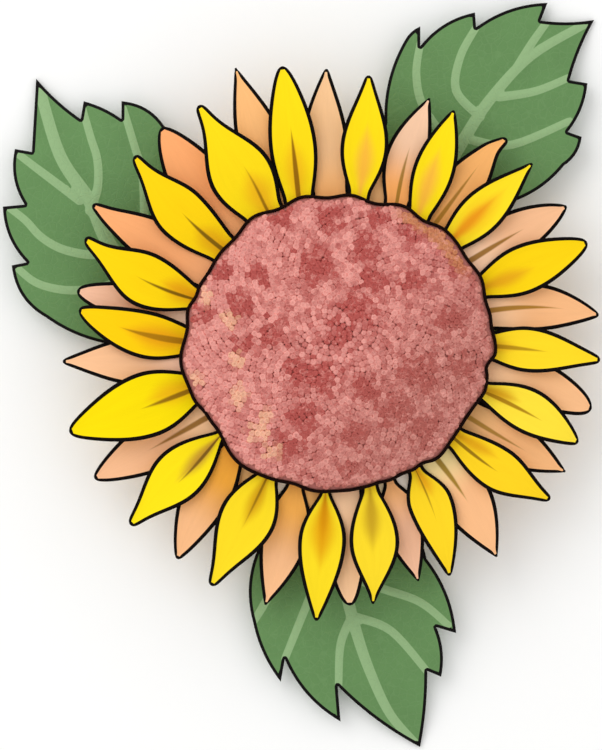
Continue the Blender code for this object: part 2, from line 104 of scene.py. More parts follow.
class Bench:
    """The modelling moves that the pieces share, each made with Blender's own operators."""

    @staticmethod
    def clear() -> None:
        """Leaves edit mode and deselects everything."""
        if bpy.context.object and bpy.context.object.mode != "OBJECT":
            bpy.ops.object.mode_set(mode="OBJECT")
        bpy.ops.object.select_all(action="DESELECT")

    @staticmethod
    def take(piece: bpy.types.Object) -> None:
        """Makes one object the only selected and active one."""
        Bench.clear()
        piece.select_set(True)
        bpy.context.view_layer.objects.active = piece

    @staticmethod
    def edit(piece: bpy.types.Object) -> None:
        """Takes a piece into edit mode with nothing selected."""
        Bench.take(piece)
        bpy.ops.object.mode_set(mode="EDIT")
        bpy.ops.mesh.select_mode(type="VERT")
        bpy.ops.mesh.select_all(action="DESELECT")

    @staticmethod
    def pick(piece: bpy.types.Object, wanted: Callable[[Vector], bool]) -> None:
        """Selects the vertices whose place passes a test, and nothing else."""
        sheet = bmesh.from_edit_mesh(piece.data)
        for vertex in sheet.verts:
            vertex.select = wanted(vertex.co)
        sheet.select_flush_mode()

    @staticmethod
    def pick_numbers(piece: bpy.types.Object, numbers: Iterable[int]) -> None:
        """Selects the vertices with these numbers, and nothing else."""
        sheet = bmesh.from_edit_mesh(piece.data)
        sheet.verts.ensure_lookup_table()
        for vertex in sheet.verts:
            vertex.select = False
        for number in numbers:
            sheet.verts[number].select = True
        sheet.select_flush_mode()

    @staticmethod
    def pick_faces(piece: bpy.types.Object, wanted: Callable[[bmesh.types.BMFace], bool]) -> None:
        """Selects the faces that pass a test, and nothing else."""
        bpy.ops.mesh.select_mode(type="FACE")
        sheet = bmesh.from_edit_mesh(piece.data)
        for face in sheet.faces:
            face.select = wanted(face)
        sheet.select_flush_mode()

    @staticmethod
    def move(x: float = 0.0, y: float = 0.0, z: float = 0.0) -> None:
        """Moves the selected vertices, in millimetres."""
        bpy.ops.transform.translate(value=(x * MM, y * MM, z * MM))

    @staticmethod
    def scale(
        x: float = 1.0, y: float = 1.0, z: float = 1.0, about: Sequence[float] = (0, 0, 0)
    ) -> None:
        """Scales the selected vertices about a point given in metres."""
        bpy.ops.transform.resize(value=(x, y, z), center_override=tuple(about))

    @staticmethod
    def press(piece: bpy.types.Object, kind: str, **settings: object) -> None:
        """Adds one modifier with its settings and applies it."""
        Bench.take(piece)
        bpy.ops.object.modifier_add(type=kind)
        modifier = piece.modifiers[-1]
        for name, value in settings.items():
            setattr(modifier, name, value)
        bpy.ops.object.modifier_apply(modifier=modifier.name)

    @staticmethod
    def round_off(piece: bpy.types.Object, levels: int = 1) -> None:
        """Rounds a piece with a subdivision surface."""
        Bench.press(piece, "SUBSURF", levels=levels, render_levels=levels)

    @staticmethod
    def settle(piece: bpy.types.Object, turn: float = 0.0, at: Sequence[float] = (0, 0, 0)) -> None:
        """Turns a piece about Z, moves it in millimetres and puts its place into its mesh."""
        Bench.take(piece)
        piece.rotation_mode = "XYZ"
        piece.rotation_euler = (0, 0, math.radians(turn))
        piece.location = Vector((*at, 0)[:3]) * MM
        bpy.ops.object.transform_apply(location=True, rotation=True, scale=True)

    @staticmethod
    def copy_of(piece: bpy.types.Object, name: str) -> bpy.types.Object:
        """A copy of a piece with its own mesh."""
        Bench.take(piece)
        bpy.ops.object.duplicate(linked=False)
        made = bpy.context.object
        Bench.rename(made, name)
        return made

    @staticmethod
    def rename(piece: bpy.types.Object, name: str) -> None:
        """Names a piece and its mesh alike."""
        piece.name = name
        piece.data.name = name

    @staticmethod
    def bin(piece: bpy.types.Object) -> None:
        """Throws a helper away with its data."""
        data = piece.data
        bpy.data.objects.remove(piece)
        if isinstance(data, bpy.types.Mesh):
            bpy.data.meshes.remove(data)

    @staticmethod
    def smooth(piece: bpy.types.Object, angle: float | None = None) -> None:
        """Shades a piece smooth, or smooth only across edges flatter than an angle in degrees."""
        Bench.take(piece)
        if angle is None:
            bpy.ops.object.shade_smooth()
        else:
            bpy.ops.object.shade_smooth_by_angle(angle=math.radians(angle))

    @staticmethod
    def tube(name: str, route: Sequence[Vector], sizes: Sequence[float], closed: bool = False,
             sides: int = 4, steps: int = 8) -> bpy.types.Object:
        """A round tube along a smooth route, as a welded mesh.

        Args:
            name: the tube's name.
            route: the points that its centre runs through, in millimetres.
            sizes: its radius at each of them, in millimetres.
            closed: whether its end joins its start.
            sides: how finely it is rounded.
            steps: how finely each stretch between two points is bent.

        Returns:
            The tube.
        """
        line = bpy.data.curves.new(name, "CURVE")
        line.dimensions = "3D"
        line.resolution_u = steps
        line.bevel_depth = MM
        line.bevel_resolution = sides
        line.use_fill_caps = not closed
        spline = line.splines.new("BEZIER")
        spline.bezier_points.add(len(route) - 1)
        spline.use_cyclic_u = closed
        for point, spot, size in zip(spline.bezier_points, route, sizes):
            point.co = spot * MM
            point.handle_left_type = point.handle_right_type = "AUTO"
            point.radius = size
        made = bpy.data.objects.new(name, line)
        bpy.context.scene.collection.objects.link(made)
        Bench.take(made)
        bpy.ops.object.convert(target="MESH")
        made = bpy.context.object
        Bench.edit(made)
        bpy.ops.mesh.select_all(action="SELECT")
        bpy.ops.mesh.remove_doubles(threshold=0.01 * MM)
        bpy.ops.mesh.normals_make_consistent(inside=False)
        bpy.ops.object.mode_set(mode="OBJECT")
        Bench.rename(made, name)
        return made

    @staticmethod
    def mark(piece: bpy.types.Object, name: str, values: Sequence[float], domain: str = "POINT") -> None:
        """Writes one number per vertex or face as an attribute that materials read."""
        layer = piece.data.attributes.get(name) or piece.data.attributes.new(name, "FLOAT", domain)
        layer.data.foreach_set("value", np.asarray(values, dtype=np.float32))


def hand_over(piece: bpy.types.Object, slot: Slot, *nodes: str) -> None:
    """Puts a finished piece over the head's axis, hangs it on the root body and hides the CAD nodes that
    it stands for.

    Args:
        piece: the finished piece, modelled about the head's axis.
        slot: the record's material slot that its finish belongs to; not used.
        nodes: the CAD nodes that it stands for.
    """
    low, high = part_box("receptacle")
    Bench.take(piece)
    piece.location = ((low.x + high.x) / 2, (low.y + high.y) / 2, 0)
    bpy.ops.object.transform_apply(location=True, rotation=True, scale=True)
    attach(piece, "root")
    if nodes:
        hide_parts(*nodes)
    faces = len(piece.data.polygons)
    LOG.info("%s: %d faces, stands for %s", piece.name, faces, ", ".join(nodes) or "-")


# ---------------------------------------------------------------------------------------------
# The paint shelf: node trees, shared effects and finishes


class Easel:
    """A node tree being wired."""

    def __init__(self, tree: bpy.types.NodeTree) -> None:
        """Starts on an existing tree."""
        self.tree = tree

    def add(self, kind: str, **settings: object) -> bpy.types.Node:
        """Adds a node of a kind and sets its own properties."""
        node = self.tree.nodes.new(kind)
        for name, value in settings.items():
            setattr(node, name, value)
        return node

    def feed(self, socket: Socket, value: object) -> None:
        """Wires another socket into this one, or sets its value."""
        if isinstance(value, bpy.types.NodeSocket):
            self.tree.links.new(value, socket)
        else:
            socket.default_value = value[:3] if socket.type == "VECTOR" else value

    def dim(self, colour: object, light: Value) -> Socket:
        """A colour made lighter or darker by a factor."""
        node = self.add("ShaderNodeVectorMath", operation="SCALE")
        self.feed(node.inputs[0], colour)
        self.feed(node.inputs["Scale"], light)
        return node.outputs[0]

    def maths(self, operation: str, first: Value, second: Value = 0.0, clamp: bool = False) -> Socket:
        """The result of a Math node."""
        node = self.add("ShaderNodeMath", operation=operation, use_clamp=clamp)
        self.feed(node.inputs[0], first)
        self.feed(node.inputs[1], second)
        return node.outputs[0]

    def step(self, value: Value, low: float, high: float) -> Socket:
        """A smooth step from 0 at low to 1 at high."""
        node = self.add("ShaderNodeMapRange", interpolation_type="SMOOTHSTEP")
        self.feed(node.inputs["Value"], value)
        node.inputs["From Min"].default_value = low
        node.inputs["From Max"].default_value = high
        return node.outputs["Result"]

    def mix(self, share: Value, one: object, other: object) -> Socket:
        """The mix of two colours."""
        node = self.add("ShaderNodeMix", data_type="RGBA")
        self.feed(node.inputs["Factor"], share)
        self.feed(node.inputs["A"], one)
        self.feed(node.inputs["B"], other)
        return node.outputs["Result"]

    def place(self) -> Socket:
        """The place on the piece, in metres."""
        return self.add("ShaderNodeTexCoord").outputs["Object"]

    def split(self, vector: Socket) -> bpy.types.bpy_prop_collection:
        """A vector's parts, named X, Y and Z."""
        parts = self.add("ShaderNodeSeparateXYZ")
        self.feed(parts.inputs[0], vector)
        return parts.outputs

    def join(self, x: Value, y: Value, z: Value = 0.0) -> Socket:
        """A vector made from its parts."""
        node = self.add("ShaderNodeCombineXYZ")
        for socket, value in zip(node.inputs, (x, y, z)):
            self.feed(socket, value)
        return node.outputs[0]

    def attribute(self, name: str, output: str = "Fac") -> Socket:
        """A value or colour written on the mesh."""
        return self.add("ShaderNodeAttribute", attribute_name=name).outputs[output]

    def speckle(
        self, vector: Socket, scale: float, detail: float = 3.0, roughness: float = 0.55
    ) -> Socket:
        """Noise from 0 to 1."""
        node = self.add("ShaderNodeTexNoise")
        self.feed(node.inputs["Vector"], vector)
        node.inputs["Scale"].default_value = scale
        node.inputs["Detail"].default_value = detail
        node.inputs["Roughness"].default_value = roughness
        return node.outputs["Fac"]

    def stretched(
        self, vector: Socket, scale: Sequence[float], shift: Sequence[float] = (0, 0, 0)
    ) -> Socket:
        """A pattern's coordinates, stretched and shifted."""
        node = self.add("ShaderNodeMapping")
        self.feed(node.inputs["Vector"], vector)
        node.inputs["Scale"].default_value = scale
        node.inputs["Location"].default_value = shift
        return node.outputs["Vector"]

    def relief(self, height: Value, distance: float, strength: float = 1.0) -> Socket:
        """A normal bumped by a height, where a height of 1 stands out by distance in millimetres."""
        node = self.add("ShaderNodeBump")
        node.inputs["Strength"].default_value = strength
        node.inputs["Distance"].default_value = distance * MM
        self.feed(node.inputs["Height"], height)
        return node.outputs["Normal"]


def new_group(name: str, inputs: dict[str, tuple[str, object]], outputs: dict[str, str]) -> Easel:
    """An empty shader node group with named sockets.

    Args:
        name: the group's name.
        inputs: each input's kind, Float, Color or Vector, and its first value.
        outputs: each output's kind.

    Returns:
        The group's tree on an easel, with its input and output nodes in place.
    """
    tree = bpy.data.node_groups.new(name, "ShaderNodeTree")
    for label, (kind, start) in inputs.items():
        socket = tree.interface.new_socket(name=label, in_out="INPUT", socket_type=f"NodeSocket{kind}")
        if start is not None:
            socket.default_value = start
    for label, kind in outputs.items():
        tree.interface.new_socket(name=label, in_out="OUTPUT", socket_type=f"NodeSocket{kind}")
    easel = Easel(tree)
    easel.add("NodeGroupInput")
    easel.add("NodeGroupOutput")
    return easel


class Effects:
    """Shader node groups that more than one material places, each built on first use."""

    @staticmethod
    def place(easel: Easel, name: str, **values: object) -> bpy.types.Node:
        """Places a group in a material and sets or wires its inputs.

        Args:
            easel: the material's tree.
            name: the group's name, which is also the name of the method here that builds it.
            values: its inputs, with underscores for spaces.

        Returns:
            The group's node.
        """
        if name not in bpy.data.node_groups:
            getattr(Effects, name)()
        node = easel.add("ShaderNodeGroup", node_tree=bpy.data.node_groups[name])
        for label, value in values.items():
            easel.feed(node.inputs[label.replace("_", " ")], value)
        return node

    @staticmethod
    def brush_stroke() -> None:
        """A tapered stroke along a petal: a mask from 0 to 1 with soft edges."""
        taper_power, opening_speed = 0.7, 8.0
        easel = new_group(
            "brush_stroke",
            {
                "Across": ("Float", 0.5), "Along": ("Float", 0.5), "Place": ("Float", 0.5),
                "Lean": ("Float", 0.0), "End": ("Float", 0.6), "Width": ("Float", 0.1),
                "Softness": ("Float", 0.05), "Lens": ("Float", 0.0),
            },
            {"Mask": "Float"},
        )
        given = easel.tree.nodes["Group Input"].outputs
        share = easel.maths("DIVIDE", given["Along"], given["End"], clamp=True)
        taper = easel.maths("POWER", easel.maths("SUBTRACT", 1.0, share), taper_power)
        opening = easel.maths("MULTIPLY", share, opening_speed, clamp=True)
        spear = easel.maths("MULTIPLY", taper, opening)
        lens = easel.maths("SINE", easel.maths("MULTIPLY", share, math.pi))
        form = easel.add("ShaderNodeMix", data_type="FLOAT")
        easel.feed(form.inputs["Factor"], given["Lens"])
        easel.feed(form.inputs["A"], spear)
        easel.feed(form.inputs["B"], lens)
        width = easel.maths("MULTIPLY", form.outputs["Result"], given["Width"])
        middle = easel.maths("ADD", given["Place"], easel.maths("MULTIPLY", given["Lean"], share))
        off = easel.maths("ABSOLUTE", easel.maths("SUBTRACT", given["Across"], middle))
        left = easel.maths("SUBTRACT", width, off)
        inside = easel.maths("DIVIDE", left, given["Softness"], clamp=True)
        easel.feed(easel.tree.nodes["Group Output"].inputs["Mask"], easel.step(inside, 0.0, 1.0))

    @staticmethod
    def long_veins() -> None:
        """Fine veins that run the length of a petal or bract: a tone and a height."""
        streaks_along, fine_share, broad_share = 3.0, 0.45, 0.55
        broad_stretch = (0.16, 0.9, 1.0)
        easel = new_group(
            "long_veins",
            {"UV": ("Vector", None), "Seed": ("Float", 0.0), "Count": ("Float", 60.0)},
            {"Tone": "Float", "Height": "Float"},
        )
        given = easel.tree.nodes["Group Input"].outputs
        parts = easel.split(given["UV"])
        across = easel.maths("MULTIPLY", parts["X"], given["Count"])
        place = easel.join(across, easel.maths("MULTIPLY", parts["Y"], streaks_along), given["Seed"])
        fine = easel.speckle(place, 1.0, detail=2.0)
        broad = easel.speckle(easel.stretched(place, broad_stretch), 1.0, detail=1.0)
        tones = easel.maths("MULTIPLY", fine, fine_share), easel.maths("MULTIPLY", broad, broad_share)
        done = easel.tree.nodes["Group Output"].inputs
        easel.feed(done["Tone"], easel.maths("ADD", *tones))
        easel.feed(done["Height"], fine)

    @staticmethod
    def dried_margin() -> None:
        """The thin dark line of a dried margin over any colour."""
        fade_start, fade_end = 0.42, 0.58
        easel = new_group(
            "dried_margin",
            {
                "Color": ("Color", (1, 1, 1, 1)), "Margin": ("Float", 0.0),
                "Ink": ("Color", shade("060202")),
            },
            {"Color": "Color"},
        )
        given = easel.tree.nodes["Group Input"].outputs
        mask = easel.step(given["Margin"], fade_start, fade_end)
        inked = easel.mix(mask, given["Color"], given["Ink"])
        easel.feed(easel.tree.nodes["Group Output"].inputs["Color"], inked)

    @staticmethod
    def plant_skin() -> None:
        """The uneven skin of green parts: patches of tone, and a fine grain that stands out."""
        patch_scale, grain_scale, patch_share, grain_share = 55.0, 900.0, 0.8, 0.2
        easel = new_group(
            "plant_skin",
            {"Vector": ("Vector", None), "Color": ("Color", (1, 1, 1, 1)), "Patches": ("Float", 0.2)},
            {"Color": "Color", "Height": "Float"},
        )
        given = easel.tree.nodes["Group Input"].outputs
        patch = easel.speckle(given["Vector"], patch_scale, detail=2.0)
        grain = easel.speckle(given["Vector"], grain_scale, detail=2.0)
        tones = easel.maths("MULTIPLY", patch, patch_share), easel.maths("MULTIPLY", grain, grain_share)
        away = easel.maths("SUBTRACT", easel.maths("ADD", *tones), 0.5)
        light = easel.maths("ADD", 1.0, easel.maths("MULTIPLY", away, given["Patches"]))
        done = easel.tree.nodes["Group Output"].inputs
        easel.feed(done["Color"], easel.dim(given["Color"], light))
        easel.feed(done["Height"], grain)


def new_material(
    name: str, roughness: float, specular: float = 0.35
) -> tuple[bpy.types.Material, Easel, bpy.types.Node]:
    """A material with its Principled shader set up, ready for its colour.

    Args:
        name: its name.
        roughness: the shader's roughness.
        specular: the shader's specular level.

    Returns:
        The material, its tree on an easel, and its shader.
    """
    made = bpy.data.materials.new(name)
    made.use_nodes = True
    shader = made.node_tree.nodes["Principled BSDF"]
    shader.inputs["Roughness"].default_value = roughness
    shader.inputs["Specular IOR Level"].default_value = specular
    return made, Easel(made.node_tree), shader


@dataclass(frozen=True)
class SpeckledFinish:
    """A plain finish: two tones in soft speckles, and a fine grain that stands out."""

    name: str
    dark: str
    light: str
    speckle_scale: float
    grain_scale: float = 0.0
    grain_height: float = 0.0
    roughness: float = 0.85
    specular: float = 0.35

    def material(self) -> bpy.types.Material:
        """The finish as a material."""
        made, easel, shader = new_material(self.name, self.roughness, self.specular)
        place = easel.place()
        speckles = easel.speckle(place, self.speckle_scale)
        easel.feed(shader.inputs["Base Color"], easel.mix(speckles, shade(self.dark), shade(self.light)))
        if self.grain_scale:
            grain = easel.speckle(place, self.grain_scale)
            easel.feed(shader.inputs["Normal"], easel.relief(grain, self.grain_height))
        return made


@dataclass(frozen=True)
class SkinFinish:
    """A green skin in one colour, shared by every piece that has it."""

    name: str
    green: str
    patches: float
    grain_height: float
    roughness: float

    def material(self) -> bpy.types.Material:
        """The finish as a material, made on first use."""
        known = bpy.data.materials.get(self.name)
        if known:
            return known
        made, easel, shader = new_material(self.name, self.roughness)
        skin = Effects.place(
            easel, "plant_skin", Vector=easel.place(), Color=shade(self.green), Patches=self.patches
        )
        easel.feed(shader.inputs["Base Color"], skin.outputs["Color"])
        relief = easel.relief(skin.outputs["Height"], self.grain_height)
        easel.feed(shader.inputs["Normal"], relief)
        return made


@dataclass(frozen=True)
class Stroke:
    """One brush stroke of colour along a petal, with places and sizes as shares of the petal's."""

    colour: str
    strength: float
    place: float  # across the petal, from 0 at its left edge to 1 at its right
    lean: float
    end: float
    width: float
    softness: float
    lens: float = 0.0  # 0 for a spear, 1 for a lens


def warmth_and_base_shade(colour: str, strength: float, end: float, width: float, place: float = 0.5) -> Stroke:
    """A broad soft lens of warmer, darker colour in the lower middle of a petal: partly the petal's own
    warm tone, partly painted shade near the disc.
    """
    return Stroke(colour, strength, place, 0.0, end, width, softness=width * 0.95, lens=1.0)


def streak(colour: str, end: float, place: float = 0.5, lean: float = 0.0, width: float = 0.07,
           strength: float = 0.8) -> Stroke:
    """A narrow dark streak from the disc's edge to a point."""
    return Stroke(colour, strength, place, lean, end, width * 1.5, softness=0.04)


@dataclass(frozen=True)
class PetalPaint:
    """The finish of one petal: its colour at the blade and at the root, and its strokes. A root paler
    than the blade is painted light against the shade at the base, under the upper ring.
    """

    blade: str
    root: str = ""
    root_end: float = 0.45  # where along the petal the root's colour is nearly gone
    strokes: tuple[Stroke, ...] = ()

    root_fade: tuple[float, float] = (-0.3, 0.1)
    vein_count: float = 46.0
    vein_light: tuple[float, float] = (0.93, 0.13)
    vein_height: float = 0.12
    vein_strength: float = 0.5
    roughness: float = 0.66
    specular: float = 0.07

    def material(self, name: str, seed: int) -> bpy.types.Material:
        """The petal's material.

        Args:
            name: its name.
            seed: a number that gives each petal its own veins.

        Returns:
            The material, which reads the petal's UV map and its margin attribute.
        """
        made, easel, shader = new_material(name, self.roughness, self.specular)
        uv = easel.add("ShaderNodeUVMap", uv_map="UVMap").outputs["UV"]
        parts = easel.split(uv)
        colour: object = shade(self.blade)
        if self.root:
            fade = easel.step(parts["Y"], *(self.root_end + shift for shift in self.root_fade))
            colour = easel.mix(fade, shade(self.root), colour)
        for stroke in self.strokes:
            mask = Effects.place(
                easel, "brush_stroke", Across=parts["X"], Along=parts["Y"], Place=stroke.place,
                Lean=stroke.lean, End=stroke.end, Width=stroke.width, Softness=stroke.softness,
                Lens=stroke.lens,
            ).outputs["Mask"]
            share = easel.maths("MULTIPLY", mask, stroke.strength)
            colour = easel.mix(share, colour, shade(stroke.colour))
        veins = Effects.place(
            easel, "long_veins", UV=uv, Seed=float(seed), Count=self.vein_count
        ).outputs
        least, gain = self.vein_light
        light = easel.maths("ADD", least, easel.maths("MULTIPLY", veins["Tone"], gain))
        edged = Effects.place(
            easel, "dried_margin", Color=easel.dim(colour, light), Margin=easel.attribute("margin")
        )
        easel.feed(shader.inputs["Base Color"], edged.outputs["Color"])
        relief = easel.relief(veins["Height"], self.vein_height, self.vein_strength)
        easel.feed(shader.inputs["Normal"], relief)
        return made


# ---------------------------------------------------------------------------------------------
# Petals


@dataclass(frozen=True)
class Petal:
    """One ray petal: where it starts and ends round the head, and the form of its outline."""

    base_angle: float
    tip_angle: float
    reach: float
    width: float
    paint: PetalPaint
    belly: float = 0.38  # where the petal is widest, as a share of its length outside the disc
    base: float = 0.55  # width at the disc's edge, as a share of the full width
    taper: float = 1.05
    blunt: float = 0.14  # width kept at the tip before it rounds off
    bow: float = 0.0  # how far the middle bends to the anticlockwise side
    hook: float = 0.0  # how far the tip turns to the anticlockwise side

    inner: float = 64.0
    disc_radius: float = 75.6
    narrowest: float = 0.35
    corner: int = 14  # how late and how sharply the tip rounds off
    hook_start: float = 0.8

    def start(self) -> Vector:
        """The middle of the root, under the disc."""
        return polar(self.inner, self.base_angle)

    def line(self) -> Vector:
        """From the root to the tip, in plan."""
        return polar(self.reach, self.tip_angle) - self.start()

    def half_width(self, along: float) -> float:
        """Half the width at a share of the length. Under the disc it keeps its base width."""
        hidden = (self.disc_radius - self.inner) / (self.reach - self.inner)
        shown = max(0.0, (along - hidden) / (1 - hidden))
        if shown < self.belly:
            swell = math.sin(shown / self.belly * math.pi / 2)
            return self.width / 2 * (self.base + (1 - self.base) * swell)
        past = (shown - self.belly) / (1 - self.belly)
        narrowing = max(0.0, math.cos(past * math.pi / 2)) ** self.taper
        rounding = math.sqrt(max(0.0, 1 - past**self.corner))
        share = (self.blunt + (1 - self.blunt) * narrowing) * rounding
        return max(self.narrowest, self.width / 2 * share)

    def sideways(self, along: float) -> float:
        """How far the middle lies from the straight line, to the anticlockwise side."""
        hooked = ease(along, self.hook_start, 1.0) ** 2
        return self.bow * 4 * along * (1 - along) + self.hook * hooked


@dataclass
class PetalBlank:
    """The flat blank that petals and bracts are shaped from, with its ribs pressed in.

    It is 1 m square. Each petal's copy gets its own length and width row by row, and only the ribs
    have their true height from the start.
    """

    columns: int = 12
    rows: int = 30
    crowding: float = 1.4  # how much closer the rows lie towards the tip
    margin: float = 2.0
    tip_margin: float = 0.03  # as a share of the length
    # How high each column lies, from the edge to the midline.
    rib_relief: tuple[float, ...] = (0.8, 0.62, 0.22, 0.12, 0.02, 0.14, -0.16)

    def make(self) -> bpy.types.Object:
        """Models the blank.

        Returns:
            The blank, with an even UV map and its margin faces marked.
        """
        Bench.clear()
        bpy.ops.mesh.primitive_grid_add(
            x_subdivisions=self.columns, y_subdivisions=self.rows, size=1, location=(0, 0.5, 0)
        )
        blank = bpy.context.object
        bpy.ops.object.transform_apply(location=True)
        Bench.rename(blank, "petal_blank")
        edge_column = 0.5 - 1 / self.columns
        Bench.edit(blank)
        for row in range(self.rows, -1, -1):
            place = row / self.rows
            Bench.pick(blank, lambda spot: abs(spot.y - place) < 0.001)
            Bench.move(y=(self.along(row) - place) / MM)
        for column in range(self.columns + 1):
            place = column / self.columns - 0.5
            Bench.pick(blank, lambda spot: abs(spot.x - place) < 0.01)
            Bench.move(z=self.rib_relief[min(column, self.columns - column)])
        # The margin's two edges lie on each other until a petal spreads them.
        bpy.ops.object.mode_set(mode="OBJECT")
        middles = [face.center for face in blank.data.polygons]
        marks = [float(abs(m.x) > edge_column or m.y > 1 - self.tip_margin) for m in middles]
        Bench.mark(blank, "margin", marks, "FACE")
        layer = blank.data.uv_layers[0]
        layer.name = "UVMap"
        for corner in blank.data.loops:
            spot = blank.data.vertices[corner.vertex_index].co
            layer.data[corner.index].uv = (spot.x + 0.5, spot.y)
        Bench.edit(blank)
        Bench.pick(blank, lambda spot: abs(spot.x) < edge_column + 0.01)
        Bench.scale(x=0.5 / edge_column)
        bpy.ops.object.mode_set(mode="OBJECT")
        return blank

    def along(self, row: int) -> float:
        """A row's share of the length. Rows crowd towards the tip, where the outline is rounder."""
        return 1 - (1 - row / self.rows) ** self.crowding

    def rows_of(self, blank: bpy.types.Object) -> list[list[int]]:
        """The blank's vertex numbers row by row, each row from its left edge to its right edge."""
        rows: list[list[int]] = [[] for _ in range(self.rows + 1)]
        for vertex in blank.data.vertices:
            row = self.rows * (1 - max(0.0, 1 - vertex.co.y) ** (1 / self.crowding))
            rows[round(row)].append(vertex.index)
        return rows


@dataclass
class PetalRing:
    """One ring of ray petals, each on a layer of its own so that neighbours overlap without touching."""

    name: str
    slot: Slot
    petals: tuple[Petal, ...]
    first_layer: int
    lift: float

    ledge: float = 30.3
    thickness: float = 0.75
    cad_thickness: float = 1.0
    layer: float = 1.4
    lift_start: float = 81.5
    lift_range: float = 56.0
    upper_lift: float = 1.5
    droop_start: float = 105.0
    droop: float = 4.5
    ink_spread: float = 0.55  # makes good what rounding takes off the margin
    slope_step: float = 0.01
    rim_limit: float = 0.8  # the most of the half width that the margin takes
    full_rib_width: float = 8.0  # the half width from which ribs have their full height
    root_relief: float = 0.15
    relief_gain: float = 3.0

    def node(self, number: int) -> str:
        """The CAD node that a petal of this ring stands for."""
        return f"{self.name}_{number + 1:02d}"

    def height(self, petal: Petal, level: int, radius: float) -> float:
        """Height of a petal's middle at a distance from the head's axis."""
        out = min(1.0, max(0.0, (radius - self.lift_start) / self.lift_range))
        past = max(0.0, (radius - self.droop_start) / (petal.reach - self.droop_start))
        full_lift = self.lift + self.upper_lift * (level % 2)
        root = self.ledge + self.cad_thickness + level * self.layer
        return root + full_lift * math.sin(out * math.pi / 2) - self.droop * past**2

    def shape(self, piece: bpy.types.Object, blank: PetalBlank, rows: list[list[int]], petal: Petal,
              level: int) -> None:
        """Gives a copy of the blank the petal's own outline and arch, row by row.

        Args:
            piece: the copy of the blank.
            blank: what it is a copy of.
            rows: the blank's vertex numbers row by row.
            petal: the petal that it becomes.
            level: the layer that it lies on.
        """
        start, line = petal.start(), petal.line()
        left = Vector((-line.y, line.x)).normalized()
        Bench.edit(piece)
        for number, row in enumerate(rows):
            along = blank.along(number)
            ahead = petal.half_width(min(1, along + self.slope_step))
            behind = petal.half_width(max(0, along - self.slope_step))
            slope = (ahead - behind) / (2 * self.slope_step * line.length)
            half = petal.half_width(along) + self.ink_spread * min(1, petal.half_width(along))
            rim = min(blank.margin * math.sqrt(1 + slope * slope), half * self.rim_limit)
            sideways = petal.sideways(along)
            spot = start + line * along + left * sideways
            out = max(0, spot.length - self.lift_start) / self.lift_range
            relief = min(1.0, half / self.full_rib_width)
            relief *= min(1.0, self.root_relief + self.relief_gain * out)
            height = self.height(petal, level, spot.length)
            Bench.pick_numbers(piece, row)
            Bench.scale(x=2 * (half - rim) * MM, z=relief, about=(0, along, 0))
            Bench.move(-sideways, line.length * along - along / MM, height)
            Bench.pick_numbers(piece, (row[0], row[-1]))
            Bench.scale(x=half / (half - rim), about=(-sideways * MM, 0, 0))
        bpy.ops.object.mode_set(mode="OBJECT")

    def build(self, blank: PetalBlank, flat: bpy.types.Object) -> None:
        """Makes the ring's petals.

        Args:
            blank: the blank's sizes.
            flat: the blank itself.
        """
        rows = blank.rows_of(flat)
        for number, petal in enumerate(self.petals):
            name = f"{self.name}_{number + 1:02d}"
            piece = Bench.copy_of(flat, name + "_looks")
            level = self.first_layer + number % 2
            self.shape(piece, blank, rows, petal, level)
            line = petal.line()
            turn = math.degrees(math.atan2(line.y, line.x)) - 90
            Bench.settle(piece, turn, (*petal.start(), 0))
            Bench.press(piece, "SOLIDIFY", thickness=self.thickness * MM, offset=-1)
            Bench.round_off(piece)
            Bench.smooth(piece)
            piece.data.materials.append(petal.paint.material(name + "_finish", number))
            hand_over(piece, self.slot, self.node(number))


@dataclass
class TuckedPetals(PetalRing):
    """Short petals under the lower ring. Only a corner of each shows, at the disc's edge."""

    beside: tuple[int, ...] = ()

    def node(self, number: int) -> str:
        """The CAD node of the lower ring's petal that it grows beside."""
        return f"ray_petal_back_{self.beside[number]:02d}"


PLAIN_GOLD = PetalPaint("FBD71C")
